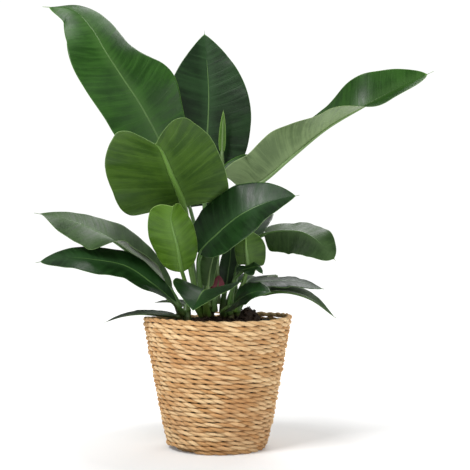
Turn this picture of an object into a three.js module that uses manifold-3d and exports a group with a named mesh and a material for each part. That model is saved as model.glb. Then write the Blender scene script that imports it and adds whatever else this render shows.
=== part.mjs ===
// Philodendron in a seagrass basket. Millimetres, +Z up; the origin is the middle of the basket's underside.
import * as THREE from 'three';
import { mergeVertices } from 'three/addons/utils/BufferGeometryUtils.js';
import Module from 'manifold-3d';

const wasm = await Module();
wasm.setup();

// ---- driving dimensions -------------------------------------------------------------------------
const GAP = 0.3;                  // clearance between pieces that touch
const BASKET_HEIGHT = 186;
const BASKET_BASE_RADIUS = 71;
const BASKET_RIM_RADIUS = 106;
const BASKET_BELLY = 1.5;         // how far the wall bows out between base and rim
const BASKET_WALL = 7;            // one thickness of seagrass rope
const BASKET_CORNER = 5;          // rounding at the base and over the rim
const BASKET_RINGS = 6;           // rings up the wall, less one
const LINER_THICKNESS = 0.6;
const LINER_DROP = 9;             // liner edge below the rim
const LINER_RINGS = 3;
const LINER_CORNER = 2;
const ROUND_SLACK = 0.2;          // room for the flats of one round piece inside another
const POT_HEIGHT = 158;
const POT_BASE_RADIUS = 58;
const POT_RIM_RADIUS = 84;
const POT_WALL = 1.4;
const POT_LIP = 3;                // how far the rolled lip stands out
const POT_LIP_DEPTH = 7;
const DRAIN_HOLES = 6;
const DRAIN_RADIUS = 5;
const DRAIN_CIRCLE = 38;
const DRAIN_SIDES = 10;
const SOIL_LEVEL = 160;           // at the pot's wall
const SOIL_CROWN = 182;           // in the middle
const SOIL_ROUNDNESS = 0.8;       // power of the heap's curve: lower is fuller
const SOIL_RINGS = 4;
// A second heap, beside the shoots.
const MOUND = { at: [46, 34], foot: 150, brim: 158, top: 194, radius: 22 };
const MOUND_FOOT_RADIUS = 16;
const MOUND_RINGS = 3;
const SHOOT_FOOT = 150;           // how deep the shoots stand in the soil
const SHOOT_SIDES = 14;
// Pairs of width and height in radii; the height is up from the foot, or if negative down from the top.
const SHOOT_PROFILE = [[0.7, 0], [1, 1], [1, -2], [0.8, -1], [0.5, -0.3]];
const LEAF_THICKNESS = 1.2;
const RIB_DEPTH = 1.7;            // midrib depth below the blade, in rib radii
const RIB_TAPER = 0.8;            // power of the midrib's taper to the tip
const VEIN_SWEEP = 0.35;          // how far the side veins run forward, as a share of the blade
const VEIN_BEND = 1.3;            // power of their curve: 1 is straight
const LOBE_SPAN = 0.3;            // share of the blade over which a lobe runs back
const STALK_RADII = [3.6, 2.8];   // leaf stalk at the foot and at the blade
const AROUND = 40;                // segments round the basket, liner, pot and soil
const LEAST_CURL = 1e-3;          // radians: a flat half is treated as this little bent

// A shoot is a short upright stem: its place, its radius at the soil and its top.
const SHOOTS = {
  main: { at: [-14, 6], radius: 9, top: 208 },
  right: { at: [17, 4], radius: 6, top: 203 },
  left: { at: [-44, 0], radius: 6, top: 203 },
};

// One entry for each leaf. turn and rise: the compass angle in degrees and the height at which its
// stalk leaves the shoot. path: the stalk and the midrib, from there to the tip; base: the point on it
// (the foot is point 0) where the blade starts. face: which way the upper side looks, from base to tip.
// half: widest half-widths, left and right of the midrib, seen from above with the tip ahead.
// lobe: how far each half runs back past the base. shape: the two powers of the outline, base and tip.
// fold: how many degrees each half rises from base to tip; curl: how much more it bends by its margin.
// wave: height, count and two phases of the margin's waves; ruffle: the same in width, as shares.
const LEAVES = [
  {
    name: 'leaf_tall_left', shoot: 'main', turn: 176, rise: 200, base: 3,
    path: [[-42, 12, 293], [-64, 14, 388], [-77, 13, 422], [-108, 8, 482], [-136, 4, 525],
      [-159, 4, 560], [-181, 10, 596], [-209, 20, 623], [-253, 26, 629]],
    face: [[0.35, -0.9, 0.25], [0.3, -0.93, 0.2], [0.25, -0.95, 0.3]],
    half: [58, 57], lobe: [26, 12], shape: [0.36, 0.72],
    fold: [[2, 4], [6, 8], [4, -8], [2, -22], [-4, -50]],
    curl: [[4, 8], [-8, -10], [-4, -20]],
    wave: [4, 2.2, 0.1, 0.45],
    ruffle: [0.05, 0.13, 2, 0.1, 0.66],
  },
  {
    name: 'leaf_big_front', shoot: 'main', turn: -152, rise: 194, base: 2,
    path: [[-39, -12, 262], [-46, -30, 338], [-62, -78, 385], [-72, -120, 412], [-78, -158, 417]],
    face: [[0.1, 0.85, 0.25], [0.05, 0.75, 0.6], [0.05, 0.5, 0.85]],
    half: [71, 93], lobe: [24, 22], shape: [0.32, 0.5],
    fold: [[28, 10], [40, 16], [62, 30]],
    curl: [[-20, -20], [-10, -10], [0, 0]],
    stalk: [3.6, 4.8],
  },
  {
    name: 'leaf_young_front', shoot: 'main', turn: -124, rise: 186, base: 2,
    path: [[-36, -26, 212], [-48, -44, 249], [-54, -66, 287], [-61, -84, 320], [-57, -106, 340]],
    face: [[0.05, 0.95, 0.1], [0.05, 0.9, 0.3], [0, 0.6, 0.8]],
    half: [30, 37], lobe: [2, 5], shape: [0.5, 0.5],
    fold: [[18, 16], [34, 14], [64, 22]],
    curl: [[10, 10], [0, 0]],
  },
  {
    name: 'leaf_tall_back', shoot: 'main', turn: 98, rise: 202, base: 2,
    path: [[-19, 34, 293], [-19, 54, 401], [-15, 60, 465], [-14, 62, 509], [-17, 66, 559], [-21, 70, 604]],
    face: [[0.05, -1, 0], [0, -1, 0.1], [0, -1, 0.1]],
    half: [68, 62], lobe: [18, 18], shape: [0.5, 0.9],
    fold: [[10, 10], [8, 8], [6, 6]],
    curl: [[0, 0], [4, 4], [0, 0]],
  },
  {
    name: 'new_leaf_spear', shoot: 'main', turn: 62, rise: 206, base: 3,
    path: [[-3, 20, 279], [8, 36, 365], [6, 42, 422], [8, 40, 482]],
    face: [[0, -1, 0]],
    half: [3, 3], lobe: [0, 0], shape: [0.5, 0.8],
    fold: [[0, 0], [0, 0]],
    stalk: [4, 2.5],
  },
  {
    name: 'leaf_long_right', shoot: 'main', turn: 6, rise: 202, base: 2,
    path: [[3, 5, 293], [35, 6, 363], [63, 4, 377], [103, -4, 410], [153, -16, 450], [205, -22, 480],
      [256, -22, 507], [304, -16, 530]],
    face: [[-0.55, 0.1, 0.8], [-0.55, 0.05, 0.8], [-0.5, -0.25, 0.75], [-0.4, -0.7, 0.6],
      [-0.4, -0.75, 0.5]],
    half: [60, 46], lobe: [36, 36], shape: [0.3, 0.64],
    fold: [[62, 64], [30, 66], [12, 44], [34, 24], [20, 14]],
    curl: [[0, -14], [0, 0]],
  },
  {
    name: 'leaf_dark_right', shoot: 'main', turn: -116, rise: 202, base: 2,
    path: [[-25, -22, 232], [-24, -32, 274], [-1, -46, 300], [32, -62, 327], [65, -70, 343],
      [112, -78, 354]],
    face: [[-0.3, -0.8, 0.5], [-0.3, -0.8, 0.55], [-0.2, -0.7, 0.7]],
    half: [46, 42], lobe: [8, 0], shape: [0.6, 0.8],
    fold: [[14, 14], [10, 10], [12, 12]],
    curl: [[0, 0], [-6, -6], [0, 0]],
  },
  {
    name: 'leaf_side_right', shoot: 'right', turn: 26, rise: 198, base: 3,
    path: [[26, 8, 243], [43, 4, 284], [66, -4, 301], [95, -14, 306], [121, -22, 303], [143, -28, 289],
      [165, -30, 264]],
    face: [[0.1, -0.75, 0.6], [0.1, -0.75, 0.6], [0.3, -0.7, 0.6]],
    half: [34, 42], lobe: [10, 10], shape: [0.6, 0.6],
    fold: [[-28, 0], [-30, 4], [-24, 4], [-4, 6], [0, 0]],
    curl: [[0, -8], [0, 0]],
  },
  {
    name: 'leaf_young_right', shoot: 'right', turn: -52, rise: 192, base: 3,
    path: [[26, -8, 208], [37, -14, 234], [42, -18, 258], [40, -24, 285], [40, -38, 308]],
    face: [[0, 0.95, 0.1], [0, 0.85, 0.4]],
    half: [27, 15], lobe: [8, 8], shape: [0.5, 0.8],
    fold: [[14, 14], [14, 14]],
    curl: [[10, 10], [10, 10]],
  },
  {
    name: 'leaf_curled_right', shoot: 'right', turn: -90, rise: 188, base: 2,
    path: [[19, -16, 210], [28, -30, 246], [45, -36, 254], [58, -42, 256], [63, -46, 246]],
    face: [[0, -0.4, 0.9], [0.2, -0.6, 0.7]],
    half: [10, 14], lobe: [4, 4], shape: [0.5, 0.8],
    fold: [[20, 20], [-10, -10]],
    curl: [[0, 0], [-40, -40]],
    wave: [3, 2, 0.2, 0.7],
  },
  {
    name: 'leaf_narrow_right', shoot: 'right', turn: -9, rise: 190, base: 2,
    path: [[30, -2, 212], [45, -8, 231], [77, -14, 235], [116, -18, 234], [150, -20, 224]],
    face: [[0.05, -0.25, 1], [0.1, -0.25, 1]],
    half: [26, 24], lobe: [8, 8], shape: [0.6, 0.7],
    fold: [[8, 8], [4, 4], [0, 0]],
    curl: [[-20, -20], [-10, -10]],
  },
  {
    name: 'leaf_arching_right', shoot: 'right', turn: 36, rise: 186, base: 2,
    path: [[36, 10, 205], [64, 2, 217], [94, -8, 221], [130, -14, 211], [167, -16, 183]],
    face: [[0.2, -0.4, 1], [0.4, -0.3, 0.9]],
    half: [13, 14], lobe: [4, 4], shape: [0.6, 0.8],
    fold: [[24, 24], [18, 18], [10, 10]],
  },
  {
    name: 'leaf_low_right', shoot: 'right', turn: -153, rise: 186, base: 2,
    path: [[10, -22, 195], [22, -36, 204], [37, -48, 215], [56, -58, 223], [75, -66, 222]],
    face: [[0, -0.6, 0.8], [0.2, -0.5, 0.8]],
    half: [25, 26], lobe: [4, 12], shape: [0.5, 0.8],
    fold: [[10, 10], [6, 6]],
    curl: [[0, 0], [-10, -10]],
  },
  {
    name: 'leaf_low_front', shoot: 'main', turn: -90, rise: 187, base: 2,
    path: [[-16, -32, 207], [-14, -50, 223], [-19, -72, 223], [-25, -96, 213], [-31, -116, 199]],
    face: [[0.05, -0.35, 0.95], [0.05, -0.3, 0.95]],
    half: [56, 40], lobe: [10, 10], shape: [0.5, 0.7],
    fold: [[24, 16], [26, 24], [36, 36]],
    curl: [[-6, -6], [0, 0]],
  },
  {
    name: 'leaf_upper_left', shoot: 'left', turn: 176, rise: 196, base: 1,
    path: [[-67, 0, 222], [-101, -6, 256], [-146, -12, 292], [-187, -16, 313], [-224, -16, 325],
      [-258, -12, 331]],
    face: [[0.2, -0.5, 0.85], [0.1, -0.5, 0.85], [0, -0.4, 0.9]],
    half: [50, 36], lobe: [4, 4], shape: [0.72, 0.8],
    fold: [[40, 10], [56, 10], [50, 8], [4, 2], [-4, 0], [36, 4]],
    curl: [[-10, 0], [-10, 0]],
  },
  {
    name: 'leaf_lower_left', shoot: 'left', turn: -120, rise: 189, base: 1,
    path: [[-58, -22, 203], [-90, -40, 233], [-125, -49, 257], [-166, -56, 266], [-209, -60, 269],
      [-248, -60, 262]],
    face: [[0.2, -0.6, 0.8], [0.1, -0.55, 0.85], [-0.1, -0.5, 0.85]],
    half: [36, 27], lobe: [2, 2], shape: [0.9, 0.7],
    fold: [[30, 30], [12, 12], [8, 8], [4, 4]],
    curl: [[-6, -6], [-6, -6]],
  },
  {
    name: 'leaf_rim_left', shoot: 'left', turn: -168, rise: 185, base: 1,
    path: [[-58, -12, 187], [-81, -14, 189], [-109, -14, 190], [-134, -14, 186], [-159, -14, 177]],
    face: [[0, -0.25, 1], [-0.1, -0.2, 1]],
    half: [10, 9], lobe: [2, 2], shape: [0.6, 0.7],
    fold: [[10, 10], [8, 8]],
  },
  {
    name: 'leaf_small_left', shoot: 'left', turn: 86, rise: 188, base: 1,
    path: [[-46, 27, 198], [-57, 36, 203], [-73, 38, 204], [-92, 38, 202]],
    face: [[0, -0.1, 1]],
    half: [9, 9], lobe: [0, 0], shape: [0.5, 0.8],
    fold: [[10, 10], [6, 6]],
  },
  {
    name: 'leaf_inner_pale', shoot: 'main', turn: -84, rise: 199, base: 2,
    path: [[-16, -12, 208], [-13, -14, 228], [-10, -16, 251], [-2, -18, 279], [7, -18, 299]],
    face: [[-0.3, -0.9, 0.1]],
    half: [15, 7], lobe: [4, 4], shape: [0.5, 0.8],
    fold: [[8, 8], [8, 8]],
  },
  {
    name: 'leaf_inner_dark', shoot: 'right', turn: 164, rise: 190, base: 2,
    path: [[8, 14, 207], [12, 18, 228], [17, 20, 261], [21, 22, 299]],
    face: [[0.1, -0.95, 0.1]],
    half: [13, 13], lobe: [4, 4], shape: [0.5, 0.8],
    fold: [[20, 20], [14, 14]],
  },
  {
    name: 'red_sheath', shoot: 'main', turn: -44, rise: 192, base: 2,
    path: [[-5, -6, 205], [-2, -8, 217], [1, -9, 231], [2, -8, 244]],
    face: [[-0.2, -0.95, 0.1]],
    half: [8, 8], lobe: [0, 0], shape: [0.5, 0.8],
    fold: [[0, 0], [0, 0]],
  },
  {
    name: 'leaf_back_tall', shoot: 'main', turn: 132, rise: 190, base: 2,
    path: [[-24, 60, 262], [-44, 118, 342], [-58, 160, 384], [-74, 204, 414], [-88, 246, 426]],
    face: [[0.1, -0.55, 0.8], [0.1, -0.3, 0.9]],
    half: [48, 46], lobe: [20, 20], shape: [0.5, 0.8],
    fold: [[14, 14], [10, 10]],
    curl: [[-8, -8], [0, 0]],
  },
  {
    name: 'leaf_back_right', shoot: 'right', turn: 106, rise: 197, base: 2,
    path: [[26, 40, 236], [34, 86, 292], [44, 130, 318], [52, 176, 326], [54, 224, 312]],
    face: [[-0.1, -0.5, 0.85], [0, 0, 1]],
    half: [40, 38], lobe: [14, 14], shape: [0.5, 0.8],
    fold: [[16, 16], [10, 10]],
    curl: [[-8, -8], [0, 0]],
  },
  {
    name: 'leaf_back_left', shoot: 'left', turn: 150, rise: 188, base: 2,
    path: [[-66, 24, 218], [-84, 66, 254], [-104, 106, 266], [-122, 140, 264], [-134, 172, 248]],
    face: [[0.3, -0.3, 0.9], [-0.1, 0.1, 1]],
    half: [32, 32], lobe: [10, 10], shape: [0.5, 0.8],
    fold: [[14, 14], [8, 8]],
    curl: [[-8, -8], [0, 0]],
  },
  {
    name: 'leaf_back_low', shoot: 'right', turn: 78, rise: 185, base: 2,
    path: [[28, 40, 206], [40, 80, 228], [54, 116, 236], [68, 150, 230], [80, 184, 212]],
    face: [[-0.1, -0.3, 0.95], [0.1, 0.1, 1]],
    half: [30, 30], lobe: [8, 8], shape: [0.5, 0.8],
    fold: [[12, 12], [8, 8]],
    curl: [[-8, -8], [0, 0]],
  },
  {
    name: 'leaf_back_middle', shoot: 'main', turn: 66, rise: 190, base: 2,
    path: [[-8, 60, 236], [-4, 112, 288], [-2, 156, 310], [-4, 200, 314], [-8, 244, 300]],
    face: [[0, -0.5, 0.85], [0, 0.1, 1]],
    half: [40, 40], lobe: [14, 14], shape: [0.5, 0.8],
    fold: [[14, 14], [10, 10]],
    curl: [[-8, -8], [0, 0]],
  },
];

const BLADE_STATIONS = [0, 0.025, 0.07, 0.14, 0.24, 0.35, 0.47, 0.59, 0.71, 0.82, 0.91, 0.975];
const STALK_STEP = 42;            // distance between rings along a stalk
const STALK_END = 2 * STALK_RADII[1];   // the last round ring stands this far before the blade
const RING = [-1, -0.55, -0.1, 0.1, 0.55, 1];   // places across the blade, left margin to right margin
const SPLINE_STEPS = 48;
const WELD = 1e-4;

// ---- materials: one for each mesh -----------------------------------------------------------------
const finish = (color, roughness) => new THREE.MeshStandardMaterial({ color, roughness, metalness: 0 });
const GREENS = { dark: '#1d3b22', mid: '#2f5f26', bright: '#5f8c30', pale: '#7f9a6a', red: '#7c1d38' };
const TONES = {
  leaf_big_front: 'mid', leaf_young_front: 'bright', leaf_young_right: 'bright', leaf_tall_left: 'mid',
  leaf_long_right: 'mid', leaf_inner_pale: 'pale', new_leaf_spear: 'bright', red_sheath: 'red',
};

// ---- small helpers --------------------------------------------------------------------------------
const radians = THREE.MathUtils.degToRad;
const clamp = THREE.MathUtils.clamp;
const ease = (x) => THREE.MathUtils.smoothstep(x, 0, 1);
const vector = (p) => new THREE.Vector3(...p);

// The value at share t of a list of evenly spaced keys, eased from key to key.
function keyed(keys, t) {
  if (keys.length === 1) return keys[0];
  const x = clamp(t, 0, 1) * (keys.length - 1);
  const i = Math.min(Math.floor(x), keys.length - 2);
  const f = ease(x - i);
  return keys[i].map((value, k) => value * (1 - f) + keys[i + 1][k] * f);
}

// A closed geometry from rings with the same number of points, capped at both ends. The first half of
// each ring is the upper side and the second half the lower side, run backwards: both sides split
// their quads along the same diagonal, so that the thin walls never cross.
function loft(rings) {
  const points = rings.flat();
  const n = rings[0].length;
  const index = [];
  for (let i = 0; i < rings.length - 1; i++) {
    for (let j = 0; j < n; j++) {
      const a = i * n + j;
      const b = i * n + (j + 1) % n;
      index.push(...(j < n / 2 ? [a, b, b + n, a, b + n, a + n] : [a, b, a + n, b, b + n, a + n]));
    }
  }
  for (const [ring, first, outward] of [[rings[0], 0, false], [rings.at(-1), (rings.length - 1) * n, true]]) {
    const centre = points.length;
    points.push(ring.reduce((sum, p) => sum.add(p), new THREE.Vector3()).divideScalar(n));
    for (let j = 0; j < n; j++) {
      const pair = [first + j, first + (j + 1) % n];
      index.push(centre, ...(outward ? pair : pair.reverse()));
    }
  }
  const geometry = new THREE.BufferGeometry().setFromPoints(points);
  geometry.setIndex(index);
  geometry.computeVertexNormals();
  return geometry;
}

function toManifold(geometry) {
  const bare = geometry.clone();
  bare.deleteAttribute('normal');
  bare.deleteAttribute('uv');
  const merged = mergeVertices(bare, WELD);
  return new wasm.Manifold(new wasm.Mesh({
    numProp: 3,
    vertProperties: new Float32Array(merged.attributes.position.array),
    triVerts: new Uint32Array(merged.index.array),
  }));
}

function fromManifold(solid) {
  const mesh = solid.getMesh();
  const geometry = new THREE.BufferGeometry();
  geometry.setAttribute('position', new THREE.BufferAttribute(new Float32Array(mesh.vertProperties), 3));
  geometry.setIndex([...mesh.triVerts]);
  geometry.computeVertexNormals();
  return geometry;
}

// A solid of revolution about Z from (radius, height) pairs that start and end on the axis.
function turned(profile, segments = AROUND) {
  const lathe = new THREE.LatheGeometry(profile.map(([r, z]) => new THREE.Vector2(r, z)), segments);
  lathe.rotateX(Math.PI / 2);
  return lathe;
}

// ---- leaves ---------------------------------------------------------------------------------------
// The foot of a stalk: just clear of its shoot, which tapers towards its top.
function stalkFoot(leaf) {
  const shoot = SHOOTS[leaf.shoot];
  const out = shoot.radius + STALK_RADII[0] + GAP;
  const turn = radians(leaf.turn);
  return [shoot.at[0] + out * Math.cos(turn), shoot.at[1] + out * Math.sin(turn), leaf.rise];
}

// The smooth line of stalk and midrib, with the distance along it where the blade starts.
function spine(leaf) {
  const points = [stalkFoot(leaf), ...leaf.path].map(vector);
  const curve = new THREE.CatmullRomCurve3(points, false, 'centripetal');
  curve.arcLengthDivisions = (points.length - 1) * SPLINE_STEPS;
  const lengths = curve.getLengths();
  const start = lengths[leaf.base * SPLINE_STEPS];
  return { curve, start, whole: lengths.at(-1), blade: lengths.at(-1) - start };
}

// Place, forward, upper side and rightward at distance x from the blade's base. Behind the base the
// lobes run straight back; the stalk follows the curve.
function frameAt(leaf, line, x, onStalk = false) {
  const along = onStalk ? x : Math.max(x, 0);
  const u = clamp((line.start + along) / line.whole, 0, 1);
  const place = line.curve.getPointAt(u);
  const forward = line.curve.getTangentAt(u);
  const up = vector(keyed(leaf.face, along / line.blade));
  up.addScaledVector(forward, -up.dot(forward)).normalize();
  const right = new THREE.Vector3().crossVectors(forward, up);
  if (!onStalk) place.addScaledVector(forward, Math.min(x, 0));
  return { place, forward, up, right };
}

// A round ring of the stalk, in the same order as a ring of the blade.
function stalkRing(leaf, line, x) {
  const [foot, top] = leaf.stalk ?? STALK_RADII;
  const radius = foot + (top - foot) * (line.start + x) / line.start;
  const { place, up, right } = frameAt(leaf, line, x, true);
  const lift = RING.map((v) => Math.PI / 2 * (1 - v));
  const turns = [...lift, ...lift.slice(1, -1).reverse().map((angle) => -angle)];
  return turns.map((angle) => place.clone()
    .addScaledVector(right, radius * Math.cos(angle))
    .addScaledVector(up, radius * Math.sin(angle)));
}

// A point of the blade at share s from base to tip and v from the left margin (-1) to the right (1).
// The outline is s^a (1-s)^b, and each half bends along an arc from its fold to its fold plus curl.
function bladePoint(leaf, line, s, v) {
  const side = v < 0 ? 0 : 1;
  const hand = v < 0 ? -1 : 1;
  const q = Math.abs(v);
  const [a, b] = leaf.shape;
  const widest = a / (a + b);
  const middle = line.blade * s * (1 - VEIN_SWEEP * (1 - s));
  const margin = line.blade * s - leaf.lobe[side] * Math.sin(Math.PI * clamp(s / LOBE_SPAN, 0, 1));
  const x = middle + (margin - middle) * q ** VEIN_BEND;
  const t = clamp(x / line.blade, 0, 1);
  const swell = Math.sqrt(Math.sin(Math.PI * t));
  const outline = (s / widest) ** a * ((1 - s) / (1 - widest)) ** b;
  let width = leaf.half[side] * outline + STALK_RADII[1] * (1 - s);
  if (leaf.ruffle) {
    const [left, right, count, leftPhase, rightPhase] = leaf.ruffle;
    const [share, phase] = side ? [right, rightPhase] : [left, leftPhase];
    width *= 1 + share * Math.sin(2 * Math.PI * (count * t + phase)) * swell;
  }
  const fold = radians(keyed(leaf.fold, t)[side]);
  const curl = radians(leaf.curl ? keyed(leaf.curl, t)[side] : 0) || LEAST_CURL;
  const across = width / curl * (Math.sin(fold + curl * q) - Math.sin(fold));
  let rise = width / curl * (Math.cos(fold) - Math.cos(fold + curl * q));
  if (leaf.wave) {
    const [height, count, ...phases] = leaf.wave;
    rise += height * q * q * Math.sin(2 * Math.PI * (count * t + phases[side])) * swell;
  }
  const { place, up, right } = frameAt(leaf, line, x);
  const slope = fold + curl * q;
  const normal = up.clone().multiplyScalar(Math.cos(slope)).addScaledVector(right, -hand * Math.sin(slope));
  return { point: place.addScaledVector(right, hand * across).addScaledVector(up, rise), normal, up };
}

// A ring of the blade: the upper side from left to right, then the lower side back with the midrib.
function bladeRing(leaf, line, s) {
  const half = LEAF_THICKNESS / 2;
  const rib = (leaf.stalk ?? STALK_RADII)[1] * (1 - s) ** RIB_TAPER * RIB_DEPTH;
  const sheet = RING.map((v) => bladePoint(leaf, line, s, v));
  const upper = sheet.map(({ point, normal }, k) => {
    const isMargin = k === 0 || k === RING.length - 1;
    return point.clone().addScaledVector(normal, isMargin ? 0 : half);
  });
  const lower = sheet.slice(1, -1).map(({ point, normal, up }, k) => {
    const isRib = k === 1 || k === 2;
    return point.clone().addScaledVector(normal, -half).addScaledVector(up, isRib ? -rib : 0);
  });
  return [...upper, ...lower.reverse()];
}

function leafGeometry(leaf) {
  const line = spine(leaf);
  const count = Math.max(2, Math.round(line.start / STALK_STEP) + 1);
  const run = line.start - STALK_END;
  const rings = [];
  for (let i = 0; i < count; i++) rings.push(stalkRing(leaf, line, run * i / (count - 1) - line.start));
  for (const s of BLADE_STATIONS) rings.push(bladeRing(leaf, line, s));
  return loft(rings);
}

// ---- shoots ---------------------------------------------------------------------------------------
// A short stem, narrowed at its foot and rounded at its top; grow widens it for the hole in the soil.
function shootGeometry(shoot, grow = 0) {
  const r = shoot.radius + grow;
  const foot = SHOOT_FOOT - grow;
  const top = shoot.top + grow;
  const side = SHOOT_PROFILE.map(([width, height]) => [width * r, (height < 0 ? top : foot) + height * r]);
  return turned([[0, foot], ...side, [0, top]], SHOOT_SIDES).translate(...shoot.at, 0);
}

// ---- basket, liner, pot and soil --------------------------------------------------------------------
// The basket's outer radius at height z: a straight taper that bows out a little.
const basketRadius = (z) => {
  const share = clamp(z / BASKET_HEIGHT, 0, 1);
  return BASKET_BASE_RADIUS + (BASKET_RIM_RADIUS - BASKET_BASE_RADIUS) * share
    + BASKET_BELLY * Math.sin(Math.PI * share);
};

// count + 1 values spread evenly from first to last.
const spread = (first, last, count) => Array.from({ length: count + 1 }, (_, i) => (
  first + (last - first) * i / count
));

function basketGeometry() {
  const heights = spread(BASKET_CORNER, BASKET_HEIGHT - BASKET_WALL / 2, BASKET_RINGS);
  const outer = heights.map((z) => [basketRadius(z), z]);
  const inner = heights.map((z) => [basketRadius(z) - BASKET_WALL, Math.max(z, BASKET_WALL)]).reverse();
  const foot = BASKET_BASE_RADIUS - BASKET_CORNER;
  const rim = basketRadius(BASKET_HEIGHT) - BASKET_WALL / 2;
  return turned([[0, 0], [foot, 0], ...outer, [rim + BASKET_WALL / 4, BASKET_HEIGHT],
    [rim - BASKET_WALL / 4, BASKET_HEIGHT], ...inner, [0, BASKET_WALL]]);
}

function linerGeometry() {
  const floor = BASKET_WALL + GAP;
  const inside = floor + LINER_THICKNESS;
  const outside = (z) => basketRadius(z) - BASKET_WALL - GAP - ROUND_SLACK;
  const heights = spread(floor + LINER_CORNER, BASKET_HEIGHT - LINER_DROP, LINER_RINGS);
  const foot = outside(floor) - LINER_CORNER;
  const outer = heights.map((z) => [outside(z), z]);
  const inner = heights.map((z) => [outside(z) - LINER_THICKNESS, z]).reverse();
  return turned([
    [0, floor], [foot, floor], ...outer, ...inner, [foot - LINER_THICKNESS, inside], [0, inside],
  ]);
}

const potFloor = BASKET_WALL + LINER_THICKNESS + 2 * GAP;
const potRadius = (z) => POT_BASE_RADIUS + (POT_RIM_RADIUS - POT_BASE_RADIUS) * (z - potFloor) / POT_HEIGHT;

function potGeometry() {
  const top = potFloor + POT_HEIGHT;
  const lipFoot = top - POT_LIP_DEPTH;
  let pot = toManifold(turned([[0, potFloor], [POT_BASE_RADIUS, potFloor], [potRadius(lipFoot), lipFoot],
    [potRadius(lipFoot) + POT_LIP, lipFoot], [POT_RIM_RADIUS + POT_LIP, top], [POT_RIM_RADIUS - POT_WALL, top],
    [POT_BASE_RADIUS - POT_WALL, potFloor + POT_WALL], [0, potFloor + POT_WALL]]));
  for (let i = 0; i < DRAIN_HOLES; i++) {
    const hole = new THREE.CylinderGeometry(DRAIN_RADIUS, DRAIN_RADIUS, 4 * POT_WALL, DRAIN_SIDES);
    hole.rotateX(Math.PI / 2);
    const turn = 2 * Math.PI * i / DRAIN_HOLES;
    hole.translate(DRAIN_CIRCLE * Math.cos(turn), DRAIN_CIRCLE * Math.sin(turn), potFloor);
    pot = pot.subtract(toManifold(hole));
  }
  return fromManifold(pot);
}

// A heap's profile over share 0 to 1 of its radius, from its top down to its brim.
const heap = (radius, brim, top, rings, power) => spread(1, 0, rings).map((share) => [
  radius * share, brim + (top - brim) * Math.cos(share * Math.PI / 2) ** power,
]);

// The soil: level by the wall, heaped up round the shoots and once more beside them.
function soilGeometry() {
  const floor = potFloor + POT_WALL + GAP;
  const wall = (z) => potRadius(z) - POT_WALL - GAP - ROUND_SLACK;
  const crown = heap(wall(SOIL_LEVEL), SOIL_LEVEL, SOIL_CROWN, SOIL_RINGS, SOIL_ROUNDNESS);
  const mound = turned([[0, MOUND.foot], [MOUND_FOOT_RADIUS, MOUND.foot],
    ...heap(MOUND.radius, MOUND.brim, MOUND.top, MOUND_RINGS, 1)], SHOOT_SIDES).translate(...MOUND.at, 0);
  let soil = toManifold(turned([[0, floor], [wall(floor), floor], ...crown])).add(toManifold(mound));
  for (const shoot of Object.values(SHOOTS)) soil = soil.subtract(toManifold(shootGeometry(shoot, GAP)));
  return fromManifold(soil);
}

// ---- the plant --------------------------------------------------------------------------------------
const plant = new THREE.Group();

function add(name, geometry, color, roughness) {
  const mesh = new THREE.Mesh(geometry, finish(color, roughness));
  mesh.name = name;
  plant.add(mesh);
}

add('basket', basketGeometry(), '#cda069', 0.85);
add('basket_liner', linerGeometry(), '#2a2a28', 0.45);
add('nursery_pot', potGeometry(), '#3a2a22', 0.5);
add('potting_soil', soilGeometry(), '#33241a', 0.95);
for (const [name, shoot] of Object.entries(SHOOTS)) add(`shoot_${name}`, shootGeometry(shoot), '#56702f', 0.6);
for (const leaf of LEAVES) add(leaf.name, leafGeometry(leaf), GREENS[TONES[leaf.name] ?? 'dark'], 0.4);

export default plant;
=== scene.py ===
# %% [markdown]
# # A philodendron in a seagrass basket
# This lesson builds a potted plant round a frame that is already there. The frame holds the real
# sizes and says where each leaf, the pot and the basket stand. Here each of them gets its fine shape
# and its finish. Everything is in metres, Z points up, and the middle of the basket's underside is
# the origin.

# %% Open the frame
import math
from itertools import combinations
import bpy
import numpy as np
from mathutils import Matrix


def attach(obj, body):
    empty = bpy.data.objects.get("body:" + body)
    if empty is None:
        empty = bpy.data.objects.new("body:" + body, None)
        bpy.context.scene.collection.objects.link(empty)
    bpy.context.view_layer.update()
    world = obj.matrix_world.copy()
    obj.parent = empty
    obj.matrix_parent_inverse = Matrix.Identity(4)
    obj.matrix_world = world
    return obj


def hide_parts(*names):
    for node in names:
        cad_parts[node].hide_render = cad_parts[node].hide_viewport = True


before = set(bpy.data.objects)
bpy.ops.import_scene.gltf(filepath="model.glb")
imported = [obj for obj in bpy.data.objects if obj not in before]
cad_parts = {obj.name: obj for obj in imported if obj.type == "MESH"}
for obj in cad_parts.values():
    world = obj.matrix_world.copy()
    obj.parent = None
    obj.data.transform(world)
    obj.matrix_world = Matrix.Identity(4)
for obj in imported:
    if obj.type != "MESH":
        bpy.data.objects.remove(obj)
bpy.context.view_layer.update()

MM = 0.001
chance = np.random.default_rng(7)

# %% [markdown]
# ## From arrays to a mesh
# Every piece in this lesson is a surface worked out with numpy: rings or grids of points, and the
# faces between them. One helper hands such arrays to Blender. It also stores any values that the
# finish reads at each point, and hides the part of the frame that the piece stands for. Whole arrays
# go in at once, which is far quicker than adding points one by one.

# %% The mesh helper
def grid_faces(rows, columns, start=0, closed=False):
    """Corners of the faces of a grid of rows by columns; closed joins the last column to the first."""
    r = np.arange(rows - 1)[:, None]
    c = np.arange(columns if closed else columns - 1)[None, :]
    nxt = (c + 1) % columns
    quads = np.stack([r * columns + c, r * columns + nxt, (r + 1) * columns + nxt, (r + 1) * columns + c], -1)
    return quads.reshape(-1, 4) + start


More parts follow.
